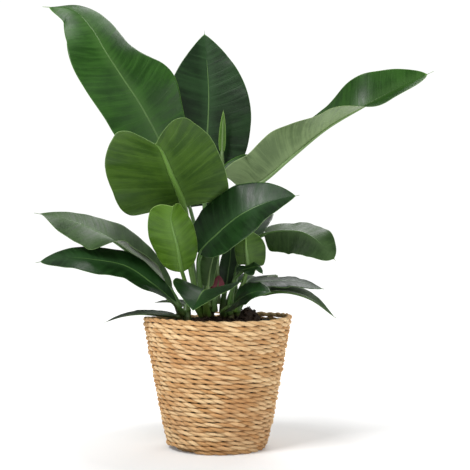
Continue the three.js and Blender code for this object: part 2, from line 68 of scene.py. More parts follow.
def join(bodies):
    """One body from several. A body is a dict of points, a list of face arrays, the finish number of
    each face array, and the values stored at each point."""
    whole = dict(points=[], faces=[], which=[], values={key: [] for key in bodies[0]["values"]})
    count = 0
    for body in bodies:
        whole["points"].append(body["points"])
        whole["faces"] += [faces + count for faces in body["faces"]]
        whole["which"] += list(body["which"])
        for key, value in body["values"].items():
            whole["values"][key].append(value)
        count += len(body["points"])
    whole["points"] = np.vstack(whole["points"])
    whole["values"] = {key: np.concatenate(value) for key, value in whole["values"].items()}
    return whole


def new_piece(name, body, finishes, node=None, scale=MM):
    """Puts a body into a mesh object on the root of the frame; its points are in units of scale metres."""
    mesh = bpy.data.meshes.new(name)
    points = np.asarray(body["points"] * scale, np.float32)
    loops = np.concatenate([faces.ravel() for faces in body["faces"]]).astype(np.int32)
    sizes = np.concatenate([np.full(len(faces), faces.shape[1]) for faces in body["faces"]])
    which = np.concatenate([np.full(len(faces), w) for faces, w in zip(body["faces"], body["which"])])
    mesh.vertices.add(len(points))
    mesh.vertices.foreach_set("co", points.ravel())
    mesh.loops.add(len(loops))
    mesh.loops.foreach_set("vertex_index", loops)
    mesh.polygons.add(len(sizes))
    mesh.polygons.foreach_set("loop_start", np.concatenate([[0], np.cumsum(sizes)[:-1]]).astype(np.int32))
    mesh.polygons.foreach_set("material_index", which.astype(np.int32))
    mesh.polygons.foreach_set("use_smooth", np.ones(len(sizes), bool))
    for key, value in body["values"].items():
        mesh.attributes.new(key, "FLOAT", "POINT").data.foreach_set("value", np.asarray(value, np.float32))
    for finish in finishes:
        mesh.materials.append(finish)
    mesh.update(calc_edges=True)
    piece = bpy.data.objects.new(name, mesh)
    bpy.context.scene.collection.objects.link(piece)
    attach(piece, "root")
    if node:
        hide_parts(node)
    return piece


# %% [markdown]
# ## Camera, light and floor
# A plain studio: the camera stands level with the middle of the plant, about a
# metre and a half away, on a pale floor that melts into a white background. The floor glows, weakly next to
# the basket and more strongly further out, which paints a soft shadow round the basket. A large soft lamp
# from the upper left gives the leaves their long soft highlights, a weaker one fills the right, and one behind
# lights the thin leaves from the back.

# %% Camera
CAMERA_PLACE = (0.0248, -1.6, 0.300)
VIEW_WIDTH_AT_ORIGIN = 0.6668
SENSOR = 36.0
camera_data = bpy.data.cameras.new("camera")
camera_data.sensor_width = SENSOR
camera_data.lens = SENSOR * -CAMERA_PLACE[1] / VIEW_WIDTH_AT_ORIGIN
camera = bpy.data.objects.new("camera", camera_data)
camera.location = CAMERA_PLACE
camera.rotation_euler = (math.radians(90), 0, 0)
bpy.context.scene.collection.objects.link(camera)
bpy.context.scene.camera = camera
print("lens", round(camera_data.lens, 1), "mm")


# %% Lamps, surroundings and floor
def soft_lamp(name, place, target, size, power, tint=(1, 1, 1)):
    """A square area lamp at place that points at target."""
    data = bpy.data.lights.new(name, "AREA")
    data.energy, data.size, data.color = power, size, tint
    lamp = bpy.data.objects.new(name, data)
    aim = np.subtract(target, place)
    lamp.location = place
    lamp.rotation_euler = (math.atan2(math.hypot(aim[0], aim[1]), -aim[2]), 0,
                           math.atan2(aim[1], aim[0]) - math.pi / 2)
    bpy.context.scene.collection.objects.link(lamp)


MIDDLE = (0, 0, 0.3)
AMBIENT = 0.36
soft_lamp("key_lamp", (-1.0, -1.2, 1.9), MIDDLE, 0.8, 40)
soft_lamp("fill_lamp", (1.9, -1.7, 0.9), MIDDLE, 1.2, 16)
soft_lamp("back_lamp", (0.5, 1.2, 1.9), MIDDLE, 1.2, 22)

world = bpy.data.worlds.new("studio")
bpy.context.scene.world = world
world.use_nodes = True
background = world.node_tree.nodes["Background"]
background.inputs["Color"].default_value = (1, 1, 1, 1)
seen = world.node_tree.nodes.new("ShaderNodeLightPath")
strength = world.node_tree.nodes.new("ShaderNodeMapRange")
strength.inputs["To Min"].default_value = AMBIENT
strength.inputs["To Max"].default_value = 1.05
world.node_tree.links.new(seen.outputs["Is Camera Ray"], strength.inputs["Value"])
world.node_tree.links.new(strength.outputs[0], background.inputs["Strength"])
bpy.context.scene.view_settings.view_transform = "Standard"

FLOOR_SIZE = 30.0
corner = FLOOR_SIZE / 2
floor_mesh = bpy.data.meshes.new("floor")
floor_corners = [(-corner, -corner, 0), (corner, -corner, 0), (corner, corner, 0), (-corner, corner, 0)]
floor_mesh.from_pydata(floor_corners, [], [(0, 1, 2, 3)])
floor = bpy.data.objects.new("floor", floor_mesh)
bpy.context.scene.collection.objects.link(floor)
floor_finish = bpy.data.materials.new("floor")
floor_finish.use_nodes = True
floor_shader = floor_finish.node_tree.nodes["Principled BSDF"]
floor_shader.inputs["Base Color"].default_value = (0.8, 0.8, 0.8, 1)
floor_shader.inputs["Roughness"].default_value = 1.0
floor_shader.inputs["Specular IOR Level"].default_value = 0.0
floor_shader.inputs["Emission Color"].default_value = (1, 1, 1, 1)
floor_tree = floor_finish.node_tree
seen = floor_tree.nodes.new("ShaderNodeLightPath")
glow = floor_tree.nodes.new("ShaderNodeMapRange")
glow.inputs["To Min"].default_value = 0.0
glow.inputs["To Max"].default_value = 0.12
place = floor_tree.nodes.new("ShaderNodeTexCoord")
away = floor_tree.nodes.new("ShaderNodeVectorMath")
away.operation = "LENGTH"
# painted shadow: the floor's glow is low next to the basket and rises outwards, so the floor is darker round the
# basket's foot
spread = floor_tree.nodes.new("ShaderNodeMapRange")
for key, value in (("From Min", 0.12), ("From Max", 0.6), ("To Min", 0.0), ("To Max", 0.8)):
    spread.inputs[key].default_value = value
total = floor_tree.nodes.new("ShaderNodeMath")
total.operation = "MAXIMUM"
floor_tree.links.new(seen.outputs["Is Camera Ray"], glow.inputs["Value"])
floor_tree.links.new(place.outputs["Object"], away.inputs[0])
floor_tree.links.new(away.outputs["Value"], spread.inputs["Value"])
floor_tree.links.new(glow.outputs[0], total.inputs[0])
floor_tree.links.new(spread.outputs[0], total.inputs[1])
floor_tree.links.new(total.outputs[0], floor_shader.inputs["Emission Strength"])
floor_mesh.materials.append(floor_finish)

# %% [markdown]
# ## The leaves: lines first
# A philodendron leaf is a broad blade on a stalk that runs on through it as the midrib. Both are
# one smooth line through a few points, so that line comes first: a centripetal Catmull-Rom curve,
# which passes through its points without loops. A list holds one entry for each leaf, in
# millimetres, the same as in the frame: where its stalk leaves the shoot, the points of the line,
# which point the blade starts at, which way the upper side looks, how wide and how folded it is.

# %% The shoots and the list of leaves
SHOOTS = {
    "main": dict(at=(-14, 6), radius=9, top=208),
    "right": dict(at=(17, 4), radius=6, top=203),
    "left": dict(at=(-44, 0), radius=6, top=203),
}
LEAVES = [
    dict(name="leaf_tall_left", shoot="main", turn=176, rise=200, base=3,
         path=[[-42, 12, 293], [-64, 14, 388], [-77, 13, 422], [-108, 8, 482], [-136, 4, 525],
               [-159, 4, 560], [-181, 10, 596], [-209, 20, 623], [-253, 26, 629]],
         face=[[0.35, -0.9, 0.25], [0.3, -0.93, 0.2], [0.25, -0.95, 0.3]], half=[58, 57], lobe=[26, 12],
         shape=[0.36, 0.72], fold=[[2, 4], [6, 8], [4, -8], [2, -22], [-4, -50]],
         curl=[[4, 8], [-8, -10], [-4, -20]], wave=[4, 2.2, 0.1, 0.45], ruffle=[0.05, 0.13, 2, 0.1, 0.66]),
    dict(name="leaf_big_front", shoot="main", turn=-152, rise=194, base=2,
         path=[[-39, -12, 262], [-46, -30, 338], [-62, -78, 385], [-72, -120, 412], [-78, -158, 417]],
         face=[[0.1, 0.85, 0.25], [0.05, 0.75, 0.6], [0.05, 0.5, 0.85]], half=[71, 93], lobe=[24, 22],
         shape=[0.32, 0.5], fold=[[28, 10], [40, 16], [62, 30]], curl=[[-20, -20], [-10, -10], [0, 0]],
         stalk=[3.6, 4.8]),
    dict(name="leaf_young_front", shoot="main", turn=-124, rise=186, base=2,
         path=[[-36, -26, 212], [-48, -44, 249], [-54, -66, 287], [-61, -84, 320], [-57, -106, 340]],
         face=[[0.05, 0.95, 0.1], [0.05, 0.9, 0.3], [0, 0.6, 0.8]], half=[30, 37], lobe=[2, 5],
         shape=[0.5, 0.5], fold=[[18, 16], [34, 14], [64, 22]], curl=[[10, 10], [0, 0]]),
    dict(name="leaf_tall_back", shoot="main", turn=98, rise=202, base=2,
         path=[[-19, 34, 293], [-19, 54, 401], [-15, 60, 465], [-14, 62, 509], [-17, 66, 559],
               [-21, 70, 604]],
         face=[[0.05, -1, 0], [0, -1, 0.1], [0, -1, 0.1]], half=[68, 62], lobe=[18, 18], shape=[0.5, 0.9],
         fold=[[10, 10], [8, 8], [6, 6]], curl=[[0, 0], [4, 4], [0, 0]]),
    dict(name="new_leaf_spear", shoot="main", turn=62, rise=206, base=3,
         path=[[-3, 20, 279], [8, 36, 365], [6, 42, 422], [8, 40, 482]], face=[[0, -1, 0]], half=[3, 3],
         lobe=[0, 0], shape=[0.5, 0.8], fold=[[0, 0], [0, 0]], stalk=[4, 2.5]),
    dict(name="leaf_long_right", shoot="main", turn=6, rise=202, base=2,
         path=[[3, 5, 293], [35, 6, 363], [63, 4, 377], [103, -4, 410], [153, -16, 450], [205, -22, 480],
               [256, -22, 507], [304, -16, 530]],
         face=[[-0.55, 0.1, 0.8], [-0.55, 0.05, 0.8], [-0.5, -0.25, 0.75], [-0.4, -0.7, 0.6],
               [-0.4, -0.75, 0.5]],
         half=[60, 46], lobe=[36, 36], shape=[0.3, 0.64],
         fold=[[62, 64], [30, 66], [12, 44], [34, 24], [20, 14]], curl=[[0, -14], [0, 0]]),
    dict(name="leaf_dark_right", shoot="main", turn=-116, rise=202, base=2,
         path=[[-25, -22, 232], [-24, -32, 274], [-1, -46, 300], [32, -62, 327], [65, -70, 343],
               [112, -78, 354]],
         face=[[-0.3, -0.8, 0.5], [-0.3, -0.8, 0.55], [-0.2, -0.7, 0.7]], half=[46, 42], lobe=[8, 0],
         shape=[0.6, 0.8], fold=[[14, 14], [10, 10], [12, 12]], curl=[[0, 0], [-6, -6], [0, 0]]),
    dict(name="leaf_side_right", shoot="right", turn=26, rise=198, base=3,
         path=[[26, 8, 243], [43, 4, 284], [66, -4, 301], [95, -14, 306], [121, -22, 303],
               [143, -28, 289], [165, -30, 264]],
         face=[[0.1, -0.75, 0.6], [0.1, -0.75, 0.6], [0.3, -0.7, 0.6]], half=[34, 42], lobe=[10, 10],
         shape=[0.6, 0.6], fold=[[-28, 0], [-30, 4], [-24, 4], [-4, 6], [0, 0]], curl=[[0, -8], [0, 0]]),
    dict(name="leaf_young_right", shoot="right", turn=-52, rise=192, base=3,
         path=[[26, -8, 208], [37, -14, 234], [42, -18, 258], [40, -24, 285], [40, -38, 308]],
         face=[[0, 0.95, 0.1], [0, 0.85, 0.4]], half=[27, 15], lobe=[8, 8], shape=[0.5, 0.8],
         fold=[[14, 14], [14, 14]], curl=[[10, 10], [10, 10]]),
    dict(name="leaf_curled_right", shoot="right", turn=-90, rise=188, base=2,
         path=[[19, -16, 210], [28, -30, 246], [45, -36, 254], [58, -42, 256], [63, -46, 246]],
         face=[[0, -0.4, 0.9], [0.2, -0.6, 0.7]], half=[10, 14], lobe=[4, 4], shape=[0.5, 0.8],
         fold=[[20, 20], [-10, -10]], curl=[[0, 0], [-40, -40]], wave=[3, 2, 0.2, 0.7]),
    dict(name="leaf_narrow_right", shoot="right", turn=-9, rise=190, base=2,
         path=[[30, -2, 212], [45, -8, 231], [77, -14, 235], [116, -18, 234], [150, -20, 224]],
         face=[[0.05, -0.25, 1], [0.1, -0.25, 1]], half=[26, 24], lobe=[8, 8], shape=[0.6, 0.7],
         fold=[[8, 8], [4, 4], [0, 0]], curl=[[-20, -20], [-10, -10]]),
    dict(name="leaf_arching_right", shoot="right", turn=36, rise=186, base=2,
         path=[[36, 10, 205], [64, 2, 217], [94, -8, 221], [130, -14, 211], [167, -16, 183]],
         face=[[0.2, -0.4, 1], [0.4, -0.3, 0.9]], half=[13, 14], lobe=[4, 4], shape=[0.6, 0.8],
         fold=[[24, 24], [18, 18], [10, 10]]),
    dict(name="leaf_low_right", shoot="right", turn=-153, rise=186, base=2,
         path=[[10, -22, 195], [22, -36, 204], [37, -48, 215], [56, -58, 223], [75, -66, 222]],
         face=[[0, -0.6, 0.8], [0.2, -0.5, 0.8]], half=[25, 26], lobe=[4, 12], shape=[0.5, 0.8],
         fold=[[10, 10], [6, 6]], curl=[[0, 0], [-10, -10]]),
    dict(name="leaf_low_front", shoot="main", turn=-90, rise=187, base=2,
         path=[[-16, -32, 207], [-14, -50, 223], [-19, -72, 223], [-25, -96, 213], [-31, -116, 199]],
         face=[[0.05, -0.35, 0.95], [0.05, -0.3, 0.95]], half=[56, 40], lobe=[10, 10], shape=[0.5, 0.7],
         fold=[[24, 16], [26, 24], [36, 36]], curl=[[-6, -6], [0, 0]]),
    dict(name="leaf_upper_left", shoot="left", turn=176, rise=196, base=1,
         path=[[-67, 0, 222], [-101, -6, 256], [-146, -12, 292], [-187, -16, 313], [-224, -16, 325],
               [-258, -12, 331]],
         face=[[0.2, -0.5, 0.85], [0.1, -0.5, 0.85], [0, -0.4, 0.9]], half=[50, 36], lobe=[4, 4],
         shape=[0.72, 0.8], fold=[[40, 10], [56, 10], [50, 8], [4, 2], [-4, 0], [36, 4]],
         curl=[[-10, 0], [-10, 0]]),
    dict(name="leaf_lower_left", shoot="left", turn=-120, rise=189, base=1,
         path=[[-58, -22, 203], [-90, -40, 233], [-125, -49, 257], [-166, -56, 266], [-209, -60, 269],
               [-248, -60, 262]],
         face=[[0.2, -0.6, 0.8], [0.1, -0.55, 0.85], [-0.1, -0.5, 0.85]], half=[36, 27], lobe=[2, 2],
         shape=[0.9, 0.7], fold=[[30, 30], [12, 12], [8, 8], [4, 4]], curl=[[-6, -6], [-6, -6]]),
    dict(name="leaf_rim_left", shoot="left", turn=-168, rise=185, base=1,
         path=[[-58, -12, 187], [-81, -14, 189], [-109, -14, 190], [-134, -14, 186], [-159, -14, 177]],
         face=[[0, -0.25, 1], [-0.1, -0.2, 1]], half=[10, 9], lobe=[2, 2], shape=[0.6, 0.7],
         fold=[[10, 10], [8, 8]]),
    dict(name="leaf_small_left", shoot="left", turn=86, rise=188, base=1,
         path=[[-46, 27, 198], [-57, 36, 203], [-73, 38, 204], [-92, 38, 202]], face=[[0, -0.1, 1]],
         half=[9, 9], lobe=[0, 0], shape=[0.5, 0.8], fold=[[10, 10], [6, 6]]),
    dict(name="leaf_inner_pale", shoot="main", turn=-84, rise=199, base=2,
         path=[[-16, -12, 208], [-13, -14, 228], [-10, -16, 251], [-2, -18, 279], [7, -18, 299]],
         face=[[-0.3, -0.9, 0.1]], half=[15, 7], lobe=[4, 4], shape=[0.5, 0.8], fold=[[8, 8], [8, 8]]),
    dict(name="leaf_inner_dark", shoot="right", turn=164, rise=190, base=2,
         path=[[8, 14, 207], [12, 18, 228], [17, 20, 261], [21, 22, 299]], face=[[0.1, -0.95, 0.1]],
         half=[13, 13], lobe=[4, 4], shape=[0.5, 0.8], fold=[[20, 20], [14, 14]]),
    dict(name="red_sheath", shoot="main", turn=-44, rise=192, base=2,
         path=[[-5, -6, 205], [-2, -8, 217], [1, -9, 231], [2, -8, 244]], face=[[-0.2, -0.95, 0.1]],
         half=[8, 8], lobe=[0, 0], shape=[0.5, 0.8], fold=[[0, 0], [0, 0]]),
    dict(name="leaf_back_tall", shoot="main", turn=132, rise=190, base=2,
         path=[[-24, 60, 262], [-44, 118, 342], [-58, 160, 384], [-74, 204, 414], [-88, 246, 426]],
         face=[[0.1, -0.55, 0.8], [0.1, -0.3, 0.9]], half=[48, 46], lobe=[20, 20], shape=[0.5, 0.8],
         fold=[[14, 14], [10, 10]], curl=[[-8, -8], [0, 0]]),
    dict(name="leaf_back_right", shoot="right", turn=106, rise=197, base=2,
         path=[[26, 40, 236], [34, 86, 292], [44, 130, 318], [52, 176, 326], [54, 224, 312]],
         face=[[-0.1, -0.5, 0.85], [0, 0, 1]], half=[40, 38], lobe=[14, 14], shape=[0.5, 0.8],
         fold=[[16, 16], [10, 10]], curl=[[-8, -8], [0, 0]]),
    dict(name="leaf_back_left", shoot="left", turn=150, rise=188, base=2,
         path=[[-66, 24, 218], [-84, 66, 254], [-104, 106, 266], [-122, 140, 264], [-134, 172, 248]],
         face=[[0.3, -0.3, 0.9], [-0.1, 0.1, 1]], half=[32, 32], lobe=[10, 10], shape=[0.5, 0.8],
         fold=[[14, 14], [8, 8]], curl=[[-8, -8], [0, 0]]),
    dict(name="leaf_back_low", shoot="right", turn=78, rise=185, base=2,
         path=[[28, 40, 206], [40, 80, 228], [54, 116, 236], [68, 150, 230], [80, 184, 212]],
         face=[[-0.1, -0.3, 0.95], [0.1, 0.1, 1]], half=[30, 30], lobe=[8, 8], shape=[0.5, 0.8],
         fold=[[12, 12], [8, 8]], curl=[[-8, -8], [0, 0]]),
    dict(name="leaf_back_middle", shoot="main", turn=66, rise=190, base=2,
         path=[[-8, 60, 236], [-4, 112, 288], [-2, 156, 310], [-4, 200, 314], [-8, 244, 300]],
         face=[[0, -0.5, 0.85], [0, 0.1, 1]], half=[40, 40], lobe=[14, 14], shape=[0.5, 0.8],
         fold=[[14, 14], [10, 10]], curl=[[-8, -8], [0, 0]]),
]
print("leaves:", len(LEAVES))

# %% [markdown]
# The line is sampled finely once. After that a place on it is looked up by its distance from the
# blade's start, with the forward direction, the direction that the upper side faces, and the
# direction to the right. Behind the start the blade's lobes run straight back, whatever the stalk does.

# %% The line of a leaf
STALK_RADII = (3.6, 2.8)
STALK_GAP = 0.3
STEPS = 48


def unit(v):
    return v / np.maximum(np.linalg.norm(v, axis=-1, keepdims=True), 1e-9)


def ease(x):
    """Smoothstep: 0 below 0, 1 above 1, with a gentle start and end."""
    x = np.clip(x, 0, 1)
    return x * x * (3 - 2 * x)


def keyed(keys, t):
    """Value at share t of a list of evenly spaced keys, eased from each key to the next."""
    keys = np.asarray(keys, float)
    if len(keys) == 1:
        return np.broadcast_to(keys[0], np.shape(t) + keys[0].shape)
    x = np.clip(t, 0, 1) * (len(keys) - 1)
    i = np.minimum(x.astype(int), len(keys) - 2)
    f = ease(x - i)[..., None]
    return keys[i] * (1 - f) + keys[i + 1] * f


def smooth_line(points):
    """Centripetal Catmull-Rom curve: each span is a cubic whose end slopes come from the points on
    both sides, each weighed by the square root of its distance."""
    p = np.asarray(points, float)
    p = np.vstack([2 * p[0] - p[1], p, 2 * p[-1] - p[-2]])
    gap = np.sqrt(np.linalg.norm(np.diff(p, axis=0), axis=1))[:, None]
    a, b, c = gap[:-2], gap[1:-1], gap[2:]
    p0, p1, p2, p3 = p[:-3], p[1:-2], p[2:-1], p[3:]
    start = ((p1 - p0) / a - (p2 - p0) / (a + b) + (p2 - p1) / b) * b
    end = ((p2 - p1) / b - (p3 - p1) / (b + c) + (p3 - p2) / c) * b
    t = np.linspace(0, 1, STEPS, endpoint=False)[None, :, None]
    p1, p2, start, end = (v[:, None] for v in (p1, p2, start, end))
    curve = p1 + start * t + (3 * (p2 - p1) - 2 * start - end) * t**2 + (2 * (p1 - p2) + start + end) * t**3
    return np.vstack([curve.reshape(-1, 3), p[-2:-1]])


def leaf_line(leaf):
    """The leaf's line from its foot to its tip, the distances along it, and where the blade starts."""
    shoot = SHOOTS[leaf["shoot"]]
    out, turn = shoot["radius"] + STALK_RADII[0] + STALK_GAP, math.radians(leaf["turn"])
    foot = (shoot["at"][0] + out * math.cos(turn), shoot["at"][1] + out * math.sin(turn), leaf["rise"])
    curve = smooth_line([foot] + list(leaf["path"]))
    along = np.concatenate([[0], np.cumsum(np.linalg.norm(np.diff(curve, axis=0), axis=1))])
    return dict(curve=curve, along=along, start=along[leaf["base"] * STEPS],
                slope=unit(np.gradient(curve, axis=0)))


def frame_at(leaf, line, x, on_stalk=False):
    """Place, forward, upper side and right at distances x from the blade's start."""
    ahead = x if on_stalk else np.maximum(x, 0)
    s = line["start"] + ahead
    place, forward = (np.stack([np.interp(s, line["along"], v[:, k]) for k in range(3)], -1)
                      for v in (line["curve"], line["slope"]))
    forward = unit(forward)
    up = keyed(leaf["face"], ahead / (line["along"][-1] - line["start"]))
    up = unit(up - (up * forward).sum(-1, keepdims=True) * forward)
    if not on_stalk:
        place = place + forward * np.minimum(x, 0)[..., None]
    return place, forward, up, np.cross(forward, up)


# %% [markdown]
# ## The blade
# Each half of a blade is a curved sheet that starts at the midrib. Its width follows an outline
# made of two powers, one for the base and one for the tip. Across, it bends along an arc: it leaves
# the midrib at the fold angle and bends on by the curl angle. Waves lift the margin, more and more
# towards it. The lines across the blade sweep forward as the side veins do, so veins can later be
# drawn along them, and they run back into the lobes behind the stalk. On top of this comes fine
# relief that tells a real leaf from a smooth sheet: side veins sunk into the upper side, a quilted
# swell between them, and slow bumps.

# %% The blade's surface
VEIN_SWEEP, VEIN_BEND, LOBE_SPAN = 0.35, 1.3, 0.3
SHEET_THICKNESS = 0.7
TIP_SHARE, TIP_WIDTH = 0.965, 1.3


def blade_surface(leaf, line, s, v, rng):
    """Points, normals and widths of the blade at share s from base to tip and v from -1 to 1 across.
    Width is the half width times (s/m)^a ((1-s)/(1-m))^b; across and rise follow a circular arc."""
    length = line["along"][-1] - line["start"]
    side, q, hand = (v > 0).astype(int), np.abs(v), np.where(v > 0, 1.0, -1.0)
    a, b = leaf["shape"]
    widest = a / (a + b)
    middle = length * s * (1 - VEIN_SWEEP * (1 - s))
    lobe = np.array(leaf["lobe"], float)[side]
    margin = length * s - lobe * np.sin(np.pi * np.clip(s / LOBE_SPAN, 0, 1))
    x = middle + (margin - middle) * q**VEIN_BEND
    t = np.clip(x / length, 0, 1)
    swell = np.sqrt(np.sin(np.pi * t).clip(0))
    body = np.clip(s / TIP_SHARE, 0, 1)
    outline = (body / widest) ** a * ((1 - body) / (1 - widest)) ** b
    width = (np.array(leaf["half"], float)[side] * outline + STALK_RADII[1] * (1 - s)
             + TIP_WIDTH * (1 - s) ** 0.5 * s)
    if "ruffle" in leaf:
        left, right, count, left_phase, right_phase = leaf["ruffle"]
        share, phase = np.array([left, right])[side], np.array([left_phase, right_phase])[side]
        width = width * (1 + share * np.sin(2 * np.pi * (count * t + phase)) * swell)
    fold = np.radians(np.take_along_axis(keyed(leaf["fold"], t), side[..., None], -1)[..., 0])
    curl = np.radians(np.take_along_axis(keyed(leaf.get("curl", [[0, 0]]), t), side[..., None], -1)[..., 0])
    curl = np.where(np.abs(curl) < 1e-3, 1e-3, curl)
    across = width / curl * (np.sin(fold + curl * q) - np.sin(fold))
    rise = width / curl * (np.cos(fold) - np.cos(fold + curl * q))
    if "wave" in leaf:
        height, count, *phases = leaf["wave"]
        rise = rise + height * q**2 * np.sin(2 * np.pi * (count * t + np.array(phases)[side])) * swell
    lift, beat = rng.uniform(0.4, 0.9, 3), rng.uniform(0, 2 * np.pi, (3, 2))
    for k, count in enumerate((3.3, 5.7, 9.1)):
        ripple = np.sin(2 * np.pi * count * t + beat[k][side])
        rise = rise + lift[k] * np.minimum(width / 30, 1) * q**3 * ripple * swell / (1 + 0.6 * k)
    place, _, up, right = frame_at(leaf, line, x)
    points = place + right * (hand * across)[..., None] + up * rise[..., None]
    normal = unit(np.cross(np.gradient(points, axis=1), np.gradient(points, axis=0)))
    return points, normal, width


VEIN_RELIEF, SLOW_RELIEF = 0.05, 0.26


def blade_relief(s, v, width, length, rng):
    """Height of the fine relief in millimetres: sunk side veins, the swell between them, slow bumps."""
    phase = vein_phase(s, v, length)
    line_height = -np.exp(-((np.mod(phase, 1) - 0.5) / 0.09) ** 2) + 0.4 * np.sin(np.pi * np.mod(phase, 1)) ** 2
    fade = np.sin(np.pi * np.clip(np.abs(v), 0, 1)) ** 0.5 * np.minimum(width / 25, 1)
    slow = sum(np.sin(f[0] * s * length / 38 + f[1] * v * width / 30 + f[2])
               for f in rng.uniform((0.6, 0.6, 0), (2.2, 2.2, 6.3), (4, 3)))
    relief = VEIN_RELIEF * line_height * fade + SLOW_RELIEF * slow * np.abs(v) ** 0.5
    return relief * np.sin(np.pi * np.clip(s, 0, 1)) ** 0.4


# %% [markdown]
# A leaf is one object of two closed bodies: the thin blade, upper and lower skin joined round its
# margin, and the stalk, a tube that runs on as the midrib and thins out to the tip. The midrib
# hangs a little below the blade, so it shows as a pale stripe from above and as a round rib from
# below, as it does on the plant. The stalk is flattened on its upper side, and it widens at its foot into the
# sheath that clasps the shoot.

# %% Blade and stalk as meshes
RIB_TAPER, RIB_DROP, STALK_ROUND = 0.8, 0.62, 18
SHEATH_GROWTH, SHEATH_LENGTH = 0.55, 26.0


def vein_phase(s, v, length):
    """Counts the side veins along the blade: each whole number plus a half is a vein."""
    return s * max(8, round(length / 15)) + 0.25 * np.sign(v)


def blade_body(leaf, line, rng):
    """Closed sheet: the upper and lower grids half a thickness off the surface, joined at the margin."""
    length = line["along"][-1] - line["start"]
    rows = int(np.clip(length / 1.8, 36, 150))
    columns = 2 * int(np.clip(max(leaf["half"]) / 2.2, 7, 32)) + 1
    share = np.linspace(0, 1, rows)
    s = np.clip(0.55 * share + 0.225 * (1 - np.cos(np.pi * share)), 0.0015, 0.9995)
    s, v = np.meshgrid(s, np.linspace(-1, 1, columns), indexing="ij")
    points, normal, width = blade_surface(leaf, line, s, v, rng)
    relief = blade_relief(s, v, width, length, rng)[..., None]
    half = SHEET_THICKNESS / 2 * (1 - 0.55 * np.abs(v) ** 4)[..., None]
    n = rows * columns
    top, bottom = grid_faces(rows, columns), grid_faces(rows, columns)[:, ::-1] + n
    rim = np.concatenate([np.arange(columns), np.arange(1, rows) * columns + columns - 1,
                          n - 2 - np.arange(columns - 1), np.arange(rows - 2, 0, -1) * columns])
    following = np.roll(rim, -1)
    edge = np.stack([following, rim, rim + n, following + n], -1)
    values = dict(along=s * length, across=v * width, inward=(1 - np.abs(v)) * width,
                  veins=vein_phase(s, v, length))
    return dict(points=np.vstack([(points + normal * (relief + k * half)).reshape(-1, 3) for k in (1, -1)]),
                faces=[top, bottom, edge], which=[0, 1, 1],
                values={key: np.tile(value.ravel(), 2) for key, value in values.items()})


def tube_body(place, up, right, radius, values, which):
    """Closed tube: rings of points (place + radius cos, sin) and a last point at each end.
    radius has a row for each ring and a column for each point round it."""
    stations, around = radius.shape
    turn = np.linspace(0, 2 * np.pi, around, endpoint=False)
    rings = (place[:, None] + right[:, None] * (radius * np.cos(turn))[..., None]
             + up[:, None] * (radius * np.sin(turn))[..., None])
    n, last = stations * around, (stations - 1) * around
    ring = np.arange(around)
    nxt = (ring + 1) % around
    caps = [np.stack([ring, nxt, np.full(around, n)], -1),
            np.stack([nxt + last, ring + last, np.full(around, n + 1)], -1)]
    spread = {key: np.concatenate([np.broadcast_to(value, (stations, around)).ravel(),
                                   np.broadcast_to(value, (stations, around))[[0, -1], 0]])
              for key, value in values.items()}
    return dict(points=np.vstack([rings.reshape(-1, 3), place[:1], place[-1:]]),
                faces=[grid_faces(stations, around, closed=True)[:, ::-1]] + caps,
                which=[which] * 3, values=spread)


def stalk_body(leaf, line):
    """Stalk and midrib: a tube that tapers along the line and sinks a little below the blade."""
    foot, top = leaf.get("stalk", STALK_RADII)
    length = line["along"][-1] - line["start"]
    x = np.linspace(-line["start"], length * 0.985, int(np.clip(line["along"][-1] / 3, 30, 170)))
    rib = top * (1 - np.clip(x / length, 0, 1)) ** RIB_TAPER + 0.12
    stem = foot + (top - foot) * (x + line["start"]) / line["start"]
    stem = stem * (1 + SHEATH_GROWTH * np.exp(-((x + line["start"]) / SHEATH_LENGTH) ** 2))
    radius = np.where(x < 0, stem, rib)
    place, _, up, right = frame_at(leaf, line, x, on_stalk=True)
    place = place - up * (radius * RIB_DROP * ease((x + 6) / (0.1 * length)))[:, None]
    turn = np.linspace(0, 2 * np.pi, STALK_ROUND, endpoint=False)
    flat = 1 - 0.16 * np.clip(np.sin(turn), 0, 1) ** 3 * (1 - ease(x / 10 + 1))[:, None]
    values = dict(along=x[:, None], across=(radius[:, None] * turn), inward=np.full((1, 1), 50.0),
                  veins=np.zeros((1, 1)))
    return tube_body(place, up, right, radius[:, None] * flat, values, 2)


# %% [markdown]
# ## A small kit for finishes
# A finish is a tree of shader nodes. These few helpers keep such trees short: one adds a node and
# fills its sockets, one does sums, one mixes two colours, one reads a stored value. Every finish is
# worked out from noise, waves and stored values, so it has detail at any distance.

